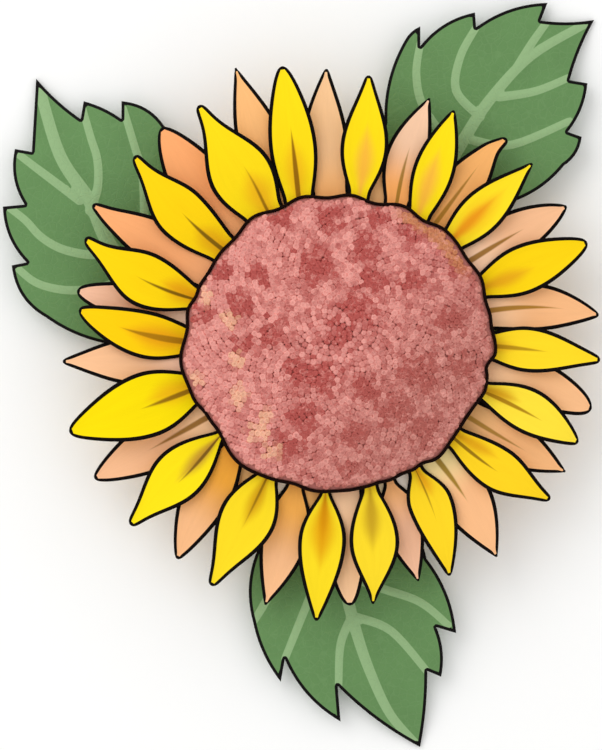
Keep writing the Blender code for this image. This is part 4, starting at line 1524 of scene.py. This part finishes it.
@dataclass(frozen=True)
class Leaf:
    """One leaf. The margin runs clockwise from the tip; each point has the bulge of the arc after it."""

    name: str
    margin: tuple[tuple[float, float, float], ...]
    midrib: tuple[tuple[float, float], ...]  # from the blade's base to its tip
    stalk: tuple[tuple[float, float], ...]  # from the stem to the blade's base
    bands: tuple[tuple[tuple[float, float], ...], ...]  # side veins, each from the midrib to the margin

    thickness: float = 0.8
    cad_thickness: float = 1.4
    base_height: float = 13.0
    hump: float = 3.0
    fold: float = 0.12
    arch: float = 0.0025
    cell: float = 5.0
    margin_step: float = 2.5
    border: float = 8.0
    stalk_radius: float = 3.2
    stalk_height: float = 7.5
    rib_width: float = 3.4
    rib_tip: float = 2.1
    band_width: float = 2.1
    band_taper: tuple[float, float] = (1.1, 0.9)
    vein_relief: float = 0.55
    vein_slope: float = 1.6  # how soon a vein reaches its full height
    vein_thickening: float = 2.2
    bends: int = 6  # points on each stretch of a vein
    rib_reach: float = 0.72  # how much of the blade the stalk runs on below
    rib_thinning: float = 0.65
    cutter_height: float = 40.0
    blade_finish: LeafFinish = LeafFinish()
    stalk_finish: SkinFinish = SkinFinish("leaf_stalk_finish", "84A56F", 0.4, 0.3, roughness=0.65)

    def base(self) -> Vector:
        """Where stalk and blade meet."""
        return Vector(self.midrib[0])

    def line(self) -> Vector:
        """From the blade's base to its tip."""
        return Vector(self.midrib[-1]) - self.base()

    def middle_height(self, along: float) -> float:
        """Height along the midrib, from 0 at the base to 1 at the tip."""
        along = min(1.0, max(-0.1, along))
        slope = self.base_height * (1 - along * abs(along))
        return self.cad_thickness + slope + self.hump * math.sin(math.pi * along)

    def side_height(self, sideways: float) -> float:
        """How much higher the blade is away from its midrib."""
        return self.fold * abs(sideways) - self.arch * sideways**2

    def height(self, spot: Vector) -> float:
        """Height of the blade's upper face at a place."""
        line = self.line()
        away = spot - self.base()
        along = away.dot(line) / line.length_squared
        sideways = away.dot(Vector((-line.y, line.x)).normalized())
        return max(self.cad_thickness, self.middle_height(along) + self.side_height(sideways))

    def outline(self) -> list[Vector]:
        """Points round the toothed margin, close enough together for smooth arcs."""
        corners = [Vector(p[:2]) for p in self.margin]
        points = []
        for number, corner in enumerate(corners):
            bulge = self.margin[number][2]
            chord = corners[(number + 1) % len(corners)] - corner
            count = max(1, round(chord.length / self.margin_step))
            outward = Vector((-chord.y, chord.x)).normalized()
            for step in range(count):
                share = step / count
                points.append(corner + chord * share + outward * (bulge * 4 * share * (1 - share)))
        return points

    def sheet(self) -> bpy.types.Object:
        """The curved sheet that the blade is cut from, in the leaf's own direction."""
        line = self.line()
        forward = line.normalized()
        right = Vector((forward.y, -forward.x))
        away = [point - self.base() for point in self.outline()]
        across, ahead = [p.dot(right) for p in away], [p.dot(forward) for p in away]
        border = Vector((self.border, self.border))
        low = Vector((min(across), min(ahead))) - border
        high = Vector((max(across), max(ahead))) + border
        columns, rows = round((high.x - low.x) / self.cell), round((high.y - low.y) / self.cell)
        Bench.clear()
        bpy.ops.mesh.primitive_grid_add(x_subdivisions=columns, y_subdivisions=rows, size=1)
        made = bpy.context.object
        Bench.rename(made, self.name + "_looks")
        made.scale = ((high.x - low.x) * MM, (high.y - low.y) * MM, 1)
        made.location = ((high.x + low.x) / 2 * MM, (high.y + low.y) / 2 * MM, 0)
        bpy.ops.object.transform_apply(location=True, scale=True)
        Bench.edit(made)
        for row in range(rows + 1):
            y = low.y + (high.y - low.y) * row / rows
            Bench.pick(made, lambda spot: abs(spot.y / MM - y) < 0.1)
            Bench.move(z=self.middle_height(y / line.length))
        for column in range(columns + 1):
            x = low.x + (high.x - low.x) * column / columns
            Bench.pick(made, lambda spot: abs(spot.x / MM - x) < 0.1)
            Bench.move(z=self.side_height(x))
        Bench.pick(made, lambda spot: spot.z < self.cad_thickness * MM)
        Bench.scale(z=0, about=(0, 0, self.cad_thickness * MM))
        bpy.ops.object.mode_set(mode="OBJECT")
        Bench.round_off(made, 2)
        turn = math.degrees(math.atan2(line.y, line.x)) - 90
        Bench.settle(made, turn, (*self.base(), 0))
        return made

    def cutter(self) -> bpy.types.Object:
        """A prism on the blade's outline."""
        flat = bpy.data.curves.new(self.name + "_cutter", "CURVE")
        flat.dimensions = "2D"
        flat.fill_mode = "BOTH"
        flat.extrude = self.cutter_height * MM
        points = self.outline()
        spline = flat.splines.new("POLY")
        spline.points.add(len(points) - 1)
        spline.use_cyclic_u = True
        for point, spot in zip(spline.points, points):
            point.co = (spot.x * MM, spot.y * MM, 0, 1)
        made = bpy.data.objects.new(self.name + "_cutter", flat)
        bpy.context.scene.collection.objects.link(made)
        Bench.take(made)
        bpy.ops.object.convert(target="MESH")
        made = bpy.context.object
        Bench.edit(made)
        bpy.ops.mesh.select_all(action="SELECT")
        bpy.ops.mesh.remove_doubles(threshold=0.001 * MM)
        bpy.ops.mesh.normals_make_consistent(inside=False)
        bpy.ops.object.mode_set(mode="OBJECT")
        return made

    def vein_lines(self) -> list[tuple[list[Vector], float, float]]:
        """Each vein as smooth points with its half width at start and end."""
        rib = smooth_line([Vector(p) for p in self.midrib], self.bends)
        first, last = (self.band_width * share for share in self.band_taper)
        bands = [smooth_line([Vector(p) for p in band], self.bends) for band in self.bands]
        return [(rib, self.rib_width, self.rib_tip)] + [(band, first, last) for band in bands]

    def vein_share(self, places: np.ndarray) -> np.ndarray:
        """How deep inside a vein each place lies: 0 at its edge, 1 in its middle, below 0 outside.

        Args:
            places: one row of x and y in millimetres for each place.

        Returns:
            One number for each place.
        """
        best = np.full(len(places), -9.0)
        for points, first, last in self.vein_lines():
            for number in range(len(points) - 1):
                start, run = np.array(points[number]), np.array(points[number + 1] - points[number])
                share = np.clip(((places - start) @ run) / max(1e-9, run @ run), 0, 1)
                away = np.linalg.norm(places - start - share[:, None] * run, axis=1)
                half = first + (last - first) * (number + share) / (len(points) - 1)
                best = np.maximum(best, 1 - away / half)
        return best

    def margin_distance(self, places: np.ndarray) -> np.ndarray:
        """Each place's distance from the margin in millimetres."""
        points = self.outline()
        best = np.full(len(places), 1e9)
        for number, point in enumerate(points):
            start = np.array(point)
            run = np.array(points[(number + 1) % len(points)]) - start
            share = np.clip(((places - start) @ run) / max(1e-9, run @ run), 0, 1)
            best = np.minimum(best, np.linalg.norm(places - start - share[:, None] * run, axis=1))
        return best

    def places(self, piece: bpy.types.Object) -> np.ndarray:
        """The plan place of every vertex, in millimetres."""
        spots = np.empty(len(piece.data.vertices) * 3)
        piece.data.vertices.foreach_get("co", spots)
        return spots.reshape(-1, 3)[:, :2] / MM

    def blade(self) -> None:
        """The blade: a curved sheet with raised veins, thickened, and cut to its toothed margin."""
        made = self.sheet()
        relief = np.clip(self.vein_share(self.places(made)) * self.vein_slope, 0, 1)
        relief = relief * relief * (3 - 2 * relief)
        veins = made.vertex_groups.new(name="veins")
        for number in np.flatnonzero(relief > 0.001):
            veins.add([int(number)], float(relief[number]), "REPLACE")
        Bench.press(
            made, "DISPLACE", strength=self.vein_relief * MM, mid_level=0.0, vertex_group="veins",
            direction="NORMAL",
        )
        Bench.press(
            made, "SOLIDIFY", thickness=self.vein_thickening * self.thickness * MM, offset=-1,
            vertex_group="veins", thickness_vertex_group=1 / self.vein_thickening,
        )
        cutter = self.cutter()
        Bench.press(made, "BOOLEAN", operation="INTERSECT", solver="EXACT", object=cutter)
        Bench.bin(cutter)
        made.vertex_groups.clear()
        places = self.places(made)
        Bench.mark(made, "rim_distance", self.margin_distance(places))
        Bench.mark(made, "vein_depth", self.vein_share(places))
        Bench.smooth(made, 55)
        made.data.materials.append(self.blade_finish.material())
        hand_over(made, Slot.LEAF, self.name)

    def petiole(self) -> None:
        """The stalk, which climbs from the stem to the blade and runs on below it as a thinning rib."""
        base, tip = self.base(), Vector(self.midrib[-1])
        blade_height = self.height(base) - self.stalk_radius
        route = []
        for number, spot in enumerate(self.stalk):
            climb = (blade_height - self.stalk_height) * (number / len(self.stalk)) ** 2
            route.append(Vector((*spot, self.stalk_height + climb)))
        for spot in map(Vector, self.midrib):
            if (spot - base).length <= self.rib_reach * (tip - base).length:
                route.append(Vector((*spot, self.height(spot) - self.stalk_radius)))
        sizes = []
        for number in range(len(route)):
            under_blade = max(0, number - len(self.stalk) + 1) / (len(route) - len(self.stalk))
            sizes.append(self.stalk_radius * (1 - self.rib_thinning * under_blade))
        made = Bench.tube(self.name + "_stalk", route, sizes, sides=5, steps=12)
        Bench.smooth(made)
        made.data.materials.append(self.stalk_finish.material())
        hand_over(made, Slot.LEAF, self.name)

    def build(self) -> None:
        """Makes blade and stalk."""
        self.blade()
        self.petiole()


def smooth_line(points: list[Vector], steps: int) -> list[Vector]:
    """Points on a smooth line through the given ones."""
    made = []
    for number in range(len(points) - 1):
        before = points[max(0, number - 1)]
        first, second = points[number], points[number + 1]
        after = points[min(len(points) - 1, number + 2)]
        for step in range(steps):
            t = step / steps
            made.append(0.5 * (
                2 * first + (second - before) * t + (2 * before - 5 * first + 4 * second - after) * t**2
                + (3 * first - before - 3 * second + after) * t**3
            ))
    return made + [points[-1]]


LEAVES = (
    Leaf(
        "leaf_upper_left",
        margin=(
            (-153, 132.5, -1), (-130.5, 112, 0), (-129, 121, 1), (-110, 112, 0), (-110, 121, 3),
            (-88.5, 108.5, 3), (-74, 82, 3), (-74, 48, 2), (-93, 18, 1), (-116, -1, 2),
            (-148, 12.5, 4), (-165, 38.5, 0), (-157.5, 40, 3), (-169.5, 68, 0), (-158.5, 69, 3),
            (-163.5, 97, 0), (-155, 95.5, 0),
        ),
        midrib=((-95, 20), (-116, 49), (-126, 71), (-141, 94), (-152, 130)),
        stalk=((-12.5, -3), (-40, -7), (-70, -3), (-87, 8)),
        bands=(
            ((-126, 66), (-122, 77), (-122, 91), (-125.5, 103), (-129.5, 117)),
            ((-100, 30), (-98.5, 60), (-99.5, 85), (-103, 97), (-109, 117)),
            ((-131, 71), (-145.5, 82), (-153.5, 88), (-162, 94.5)),
            ((-118, 44), (-128, 44), (-140.5, 47), (-150.5, 53), (-158, 61), (-167, 68)),
            ((-108, 32), (-120, 27.5), (-133, 26), (-144, 27), (-154, 30.5), (-163, 38)),
        ),
        rib_width=4.0, rib_tip=2.8,
    ),
    Leaf(
        "leaf_upper_right",
        margin=(
            (127.5, 162, -1), (115, 131.5, 0), (124, 130, 2), (114, 105.5, 0), (121, 103, 2),
            (112, 88.5, 2), (88, 71, 2), (62, 60, 2), (41, 67, 2), (24, 84, 3), (22, 110, 3),
            (32, 151, 1), (40, 158.5, 0), (40, 148.5, 3), (67.5, 165.5, 0), (68, 158, 3),
            (104, 170.5, 0), (100.5, 161.5, -1),
        ),
        midrib=((44, 70), (62, 102), (76, 123), (96, 144), (125, 161)),
        stalk=((5, 11.5), (15, 32), (29, 52), (37, 61)),
        bands=(
            ((88, 137), (96, 150), (104.5, 162)), ((70, 113), (58, 126), (60, 143), (68, 158)),
            ((58, 95), (42, 117), (38, 134), (40, 150)), ((80, 123), (98, 126), (115, 133)),
            ((67, 101), (86, 99), (115, 111)),
        ),
    ),
    Leaf(
        "leaf_bottom",
        margin=(
            (40, -203.5, 2), (-1.5, -172.5, 0), (0, -190.5, 3.5), (-28, -159, 0), (-30, -170.5, 2),
            (-44, -140, 3), (-42, -105, 4), (-24, -88, 3), (2, -84, 3), (30, -91, 3),
            (43, -108.5, 3), (58, -146, 0), (48, -143, 2), (50.5, -168, 0), (43.5, -165, 1),
        ),
        midrib=((0, -90), (2, -120), (7.5, -144), (15, -166), (25, -187), (38, -202)),
        stalk=((0, -12.5), (-3, -35), (-4, -60), (-2, -80)),
        bands=(
            ((8, -138), (25.5, -145), (44, -166)), ((5, -118), (22, -124), (40, -130.5), (54, -142)),
            ((6, -137), (0, -151.5), (-1, -173)), ((-8, -110), (-18.5, -135.5), (-28, -159)),
            ((-24, -105), (-37.5, -130), (-43.5, -140)),
        ),
    ),
)


# ---------------------------------------------------------------------------------------------
# Cup, stem stub and bracts


@dataclass(frozen=True)
class CupFinish:
    """Green skin, paler towards the stem, with the cut end's pale pith inside a darker ring."""

    stem: str = "93AE6C"
    cup: str = "6F9156"
    fade: tuple[float, float] = (0.012, 0.05)  # metres from the axis, like the next two
    pith: str = "EFE9D2"
    ring: str = "B9C489"
    pith_edge: tuple[float, float] = (0.0085, 0.0098)
    cut_height: float = 0.0007
    patches: float = 0.5
    grain_height: float = 0.5
    roughness: float = 0.65

    def material(self) -> bpy.types.Material:
        """The finish as a material."""
        made, easel, shader = new_material("cup_finish", self.roughness)
        place = easel.place()
        low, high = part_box("receptacle")
        shift = (-(low.x + high.x) / 2, -(low.y + high.y) / 2, 0)
        parts = easel.split(easel.stretched(place, (1, 1, 1), shift))
        reach = easel.add("ShaderNodeVectorMath", operation="LENGTH")
        easel.feed(reach.inputs[0], easel.join(parts["X"], parts["Y"]))
        radius = reach.outputs["Value"]
        green = easel.mix(easel.step(radius, *self.fade), shade(self.stem), shade(self.cup))
        skin = Effects.place(
            easel, "plant_skin", Vector=place, Color=green, Patches=self.patches
        ).outputs
        cut = easel.maths("LESS_THAN", parts["Z"], self.cut_height)
        pith = easel.mix(easel.step(radius, *self.pith_edge), shade(self.pith), shade(self.ring))
        easel.feed(shader.inputs["Base Color"], easel.mix(cut, skin["Color"], pith))
        easel.feed(shader.inputs["Normal"], easel.relief(skin["Height"], self.grain_height))
        return made


@dataclass
class Cup:
    """The receptacle: a flaring green cup with shallow ribs, on a stub of cut stem."""

    start_radius: float = 17.0
    start_height: float = 17.0
    power: float = 1.25
    ledge: float = 30.0
    ledge_radius: float = 70.5
    lip: float = 0.7

    sides: int = 108
    core: float = 3.5
    stub: tuple[tuple[float, float], ...] = (  # radius and height of each ring, from the cut end up
        (9.2, 0.0), (9.8, 0.5), (11.0, 0.0), (11.7, 0.3), (12.0, 1.2), (12.0, 5.0), (12.0, 9.0),
        (12.4, 12.5), (14.2, 15.4),
    )
    flare: tuple[float, ...] = (17, 22, 28, 34, 40, 46, 52, 58, 64, 68, 70)  # radii of the rings
    seat: tuple[tuple[float, float], ...] = (  # round the ledge, in, and up to the disc
        (70.5, 29.6), (70.2, 30.0), (62.2, 30.0), (62.0, 30.4), (62.0, 35.6), (61.6, 36.0),
    )

    ribs: int = 18
    ribbed: tuple[float, float] = (11.5, 69.0)
    rib_top: float = 29.5
    rib_start: tuple[float, float] = (14, 20)  # where the stem's grooves turn into the cup's
    rib_height: float = 0.35
    groove: float = 0.02
    finish: CupFinish = CupFinish()

    def underside(self, radius: float) -> float:
        """Height of the cup's underside at a distance from the axis."""
        share = max(0.0, (radius - self.start_radius) / (self.ledge_radius - self.start_radius))
        return self.start_height + (self.ledge - self.lip - self.start_height) * share**self.power

    def build(self) -> None:
        """Makes the cup ring by ring from the stem's cut end upwards."""
        Bench.clear()
        bpy.ops.mesh.primitive_circle_add(vertices=self.sides, radius=self.core * MM)
        made = bpy.context.object
        Bench.rename(made, "receptacle_looks")
        Bench.edit(made)
        bpy.ops.mesh.select_all(action="SELECT")
        bpy.ops.mesh.edge_face_add()
        flare = tuple((radius, self.underside(radius)) for radius in self.flare)
        level, size = 0.0, self.core
        for radius, height in self.stub + flare + self.seat:
            rise = {"value": (0, 0, (height - level) * MM)}
            bpy.ops.mesh.extrude_edges_move(TRANSFORM_OT_translate=rise)
            Bench.scale(radius / size, radius / size, about=(0, 0, height * MM))
            level, size = height, radius
        bpy.ops.mesh.edge_face_add()
        bpy.ops.mesh.select_all(action="SELECT")
        bpy.ops.mesh.normals_make_consistent(inside=False)
        bpy.ops.object.mode_set(mode="OBJECT")
        self.rib(made)
        Bench.smooth(made, 50)
        made.data.materials.append(self.finish.material())
        hand_over(made, Slot.CUP, "receptacle")

    def rib(self, piece: bpy.types.Object) -> None:
        """Draws shallow grooves up the stem and the cup."""
        for vertex in piece.data.vertices:
            radius = math.hypot(vertex.co.x, vertex.co.y) / MM
            if self.ribbed[0] < radius < self.ribbed[1] and vertex.co.z < self.rib_top * MM:
                wave = math.cos(self.ribs * math.atan2(vertex.co.y, vertex.co.x))
                in_cup = ease(radius, *self.rib_start)
                vertex.co.z += self.rib_height * MM * wave * in_cup
                vertex.co.xy *= 1 - self.groove * (1 - wave) * (1 - in_cup)


@dataclass(frozen=True)
class BractFinish:
    """Green with long veins and a darker margin."""

    dark: str = "547A45"
    light: str = "7D9F66"
    ink: str = "2A3A1E"
    veins: float = 30.0
    patches: float = 0.4
    vein_height: float = 0.3
    vein_strength: float = 0.8
    roughness: float = 0.62

    def material(self) -> bpy.types.Material:
        """The finish as a material, which reads the UV map and the margin attribute."""
        made, easel, shader = new_material("bract_finish", self.roughness)
        uv = easel.add("ShaderNodeUVMap", uv_map="UVMap").outputs["UV"]
        veins = Effects.place(easel, "long_veins", UV=uv, Seed=5.0, Count=self.veins).outputs
        green = easel.mix(veins["Tone"], shade(self.dark), shade(self.light))
        skin = Effects.place(
            easel, "plant_skin", Vector=easel.place(), Color=green, Patches=self.patches
        )
        edged = Effects.place(
            easel, "dried_margin", Color=skin.outputs["Color"], Margin=easel.attribute("margin"),
            Ink=shade(self.ink),
        )
        easel.feed(shader.inputs["Base Color"], edged.outputs["Color"])
        relief = easel.relief(veins["Height"], self.vein_height, self.vein_strength)
        easel.feed(shader.inputs["Normal"], relief)
        return made


@dataclass
class Bracts:
    """The ring of green pointed bracts behind the petals, modelled once and copied round the cup."""

    cup: Cup
    count: int = 18
    inner: float = 50.0
    reach: float = 97.0
    width: float = 21.0
    thickness: float = 0.85
    layer: float = 1.4
    droop: float = 1.5
    gap: float = 0.3
    margin: float = 1.0
    margin_limit: float = 0.5  # the most of the half width that the margin takes
    rib_share: float = 0.6  # how high its ribs are beside a petal's
    full_rib_width: float = 8.0
    finish: BractFinish = BractFinish()

    def pattern(self, blank: PetalBlank, flat: bpy.types.Object) -> bpy.types.Object:
        """Models one bract along +Y."""
        outline = Petal(0, 0, self.reach, self.width, PLAIN_GOLD, belly=0.3, base=0.85, blunt=0.04)
        piece = Bench.copy_of(flat, "bract_pattern")
        length, ledge = self.reach - self.inner, self.cup.ledge_radius
        Bench.edit(piece)
        for number, row in enumerate(blank.rows_of(flat)):
            along = blank.along(number)
            half = outline.half_width(along)
            rim = min(self.margin, half * self.margin_limit)
            out = self.inner + length * along
            past = max(0.0, out - ledge) / (self.reach - ledge)
            height = self.cup.underside(min(out, ledge)) - self.droop * past**2 - self.gap
            relief = min(1.0, half / self.full_rib_width) * self.rib_share
            Bench.pick_numbers(piece, row)
            Bench.scale(x=2 * (half - rim) * MM, z=relief, about=(0, along, 0))
            Bench.move(0, out - along / MM, height)
            Bench.pick_numbers(piece, (row[0], row[-1]))
            Bench.scale(x=half / (half - rim))
        bpy.ops.object.mode_set(mode="OBJECT")
        Bench.press(piece, "SOLIDIFY", thickness=self.thickness * MM, offset=-1)
        Bench.round_off(piece)
        Bench.smooth(piece)
        piece.data.materials.append(self.finish.material())
        return piece

    def build(self, blank: PetalBlank, flat: bpy.types.Object) -> None:
        """Copies the pattern round the cup, every second bract a layer lower."""
        pattern = self.pattern(blank, flat)
        for number in range(self.count):
            name = f"bract_{number + 1:02d}"
            piece = Bench.copy_of(pattern, name + "_looks")
            turn = 360 * (number + 0.5) / self.count - 90
            Bench.settle(piece, turn, (0, 0, -(number % 2) * self.layer))
            hand_over(piece, Slot.BRACT, name)
        Bench.bin(pattern)


# ---------------------------------------------------------------------------------------------
# Studio


@dataclass
class Studio:
    """A plain pale floor, soft light and the camera straight above the head."""

    floor_size: float = 12.0
    paper: SpeckledFinish = SpeckledFinish(
        "floor_finish", "FCFCFB", "FEFEFD", 3.0, roughness=0.9, specular=0.1
    )
    sky: float = 0.89
    key: float = 14.0
    key_size: float = 1.8
    key_place: tuple[float, float, float] = (-1.1, 1.1, 1.9)
    sensor: float = 36.0
    lens: float = 600.0
    view_height: float = 0.375  # how much the view's long side shows, in metres
    level: float = 0.036  # height at which it shows that much

    def floor(self) -> None:
        """Lays the floor."""
        Bench.clear()
        bpy.ops.mesh.primitive_plane_add(size=self.floor_size)
        made = bpy.context.object
        Bench.rename(made, "studio_floor")
        made.data.materials.append(self.paper.material())

    def lights(self) -> None:
        """Hangs one broad soft light and fills the rest from all round."""
        world = bpy.data.worlds.new("studio_air")
        world.use_nodes = True
        world.node_tree.nodes["Background"].inputs["Color"].default_value = (1, 1, 1, 1)
        world.node_tree.nodes["Background"].inputs["Strength"].default_value = self.sky
        bpy.context.scene.world = world
        Bench.clear()
        bpy.ops.object.light_add(type="AREA", location=self.key_place)
        key = bpy.context.object
        key.data.shape = "DISK"
        key.data.size = self.key_size
        key.data.energy = self.key
        key.rotation_mode = "QUATERNION"
        key.rotation_quaternion = (-key.location).to_track_quat("-Z", "Y")

    def camera(self) -> None:
        """Sets the camera straight above, from so far that it sees nearly without perspective."""
        Bench.clear()
        distance = self.lens / self.sensor * self.view_height
        bpy.ops.object.camera_add(location=(0, 0, distance + self.level), rotation=(0, 0, 0))
        made = bpy.context.object
        made.data.lens = self.lens
        made.data.sensor_width = self.sensor
        made.data.clip_end = 100
        bpy.context.scene.camera = made
        bpy.context.scene.view_settings.view_transform = "Standard"

    def build(self) -> None:
        """Sets up floor, lights and camera."""
        self.floor()
        self.lights()
        self.camera()


def main() -> None:
    """Builds the whole head, sub-assembly by sub-assembly."""
    logging.basicConfig(level=logging.INFO, format="%(name)s %(message)s")
    Studio().build()
    cup = Cup()
    cup.build()
    SeedDisc().build()
    blank = PetalBlank()
    flat = blank.make()
    Bracts(cup).build(blank, flat)
    PetalRing("ray_petal_back", Slot.PEACH, BACK_PETALS, first_layer=0, lift=2.5).build(blank, flat)
    PetalRing("ray_petal_front", Slot.YELLOW, FRONT_PETALS, first_layer=2, lift=8.0).build(blank, flat)
    TuckedPetals(
        "tucked_petal", Slot.PEACH, TUCKED_PETALS, first_layer=0, lift=1.0, upper_lift=0.0,
        ledge=29.46, layer=0.0, droop=0.0, beside=TUCKED_BESIDE,
    ).build(blank, flat)
    Bench.bin(flat)
    for leaf in LEAVES:
        leaf.build()
    Bench.clear()


if __name__ == "__main__":
    main()
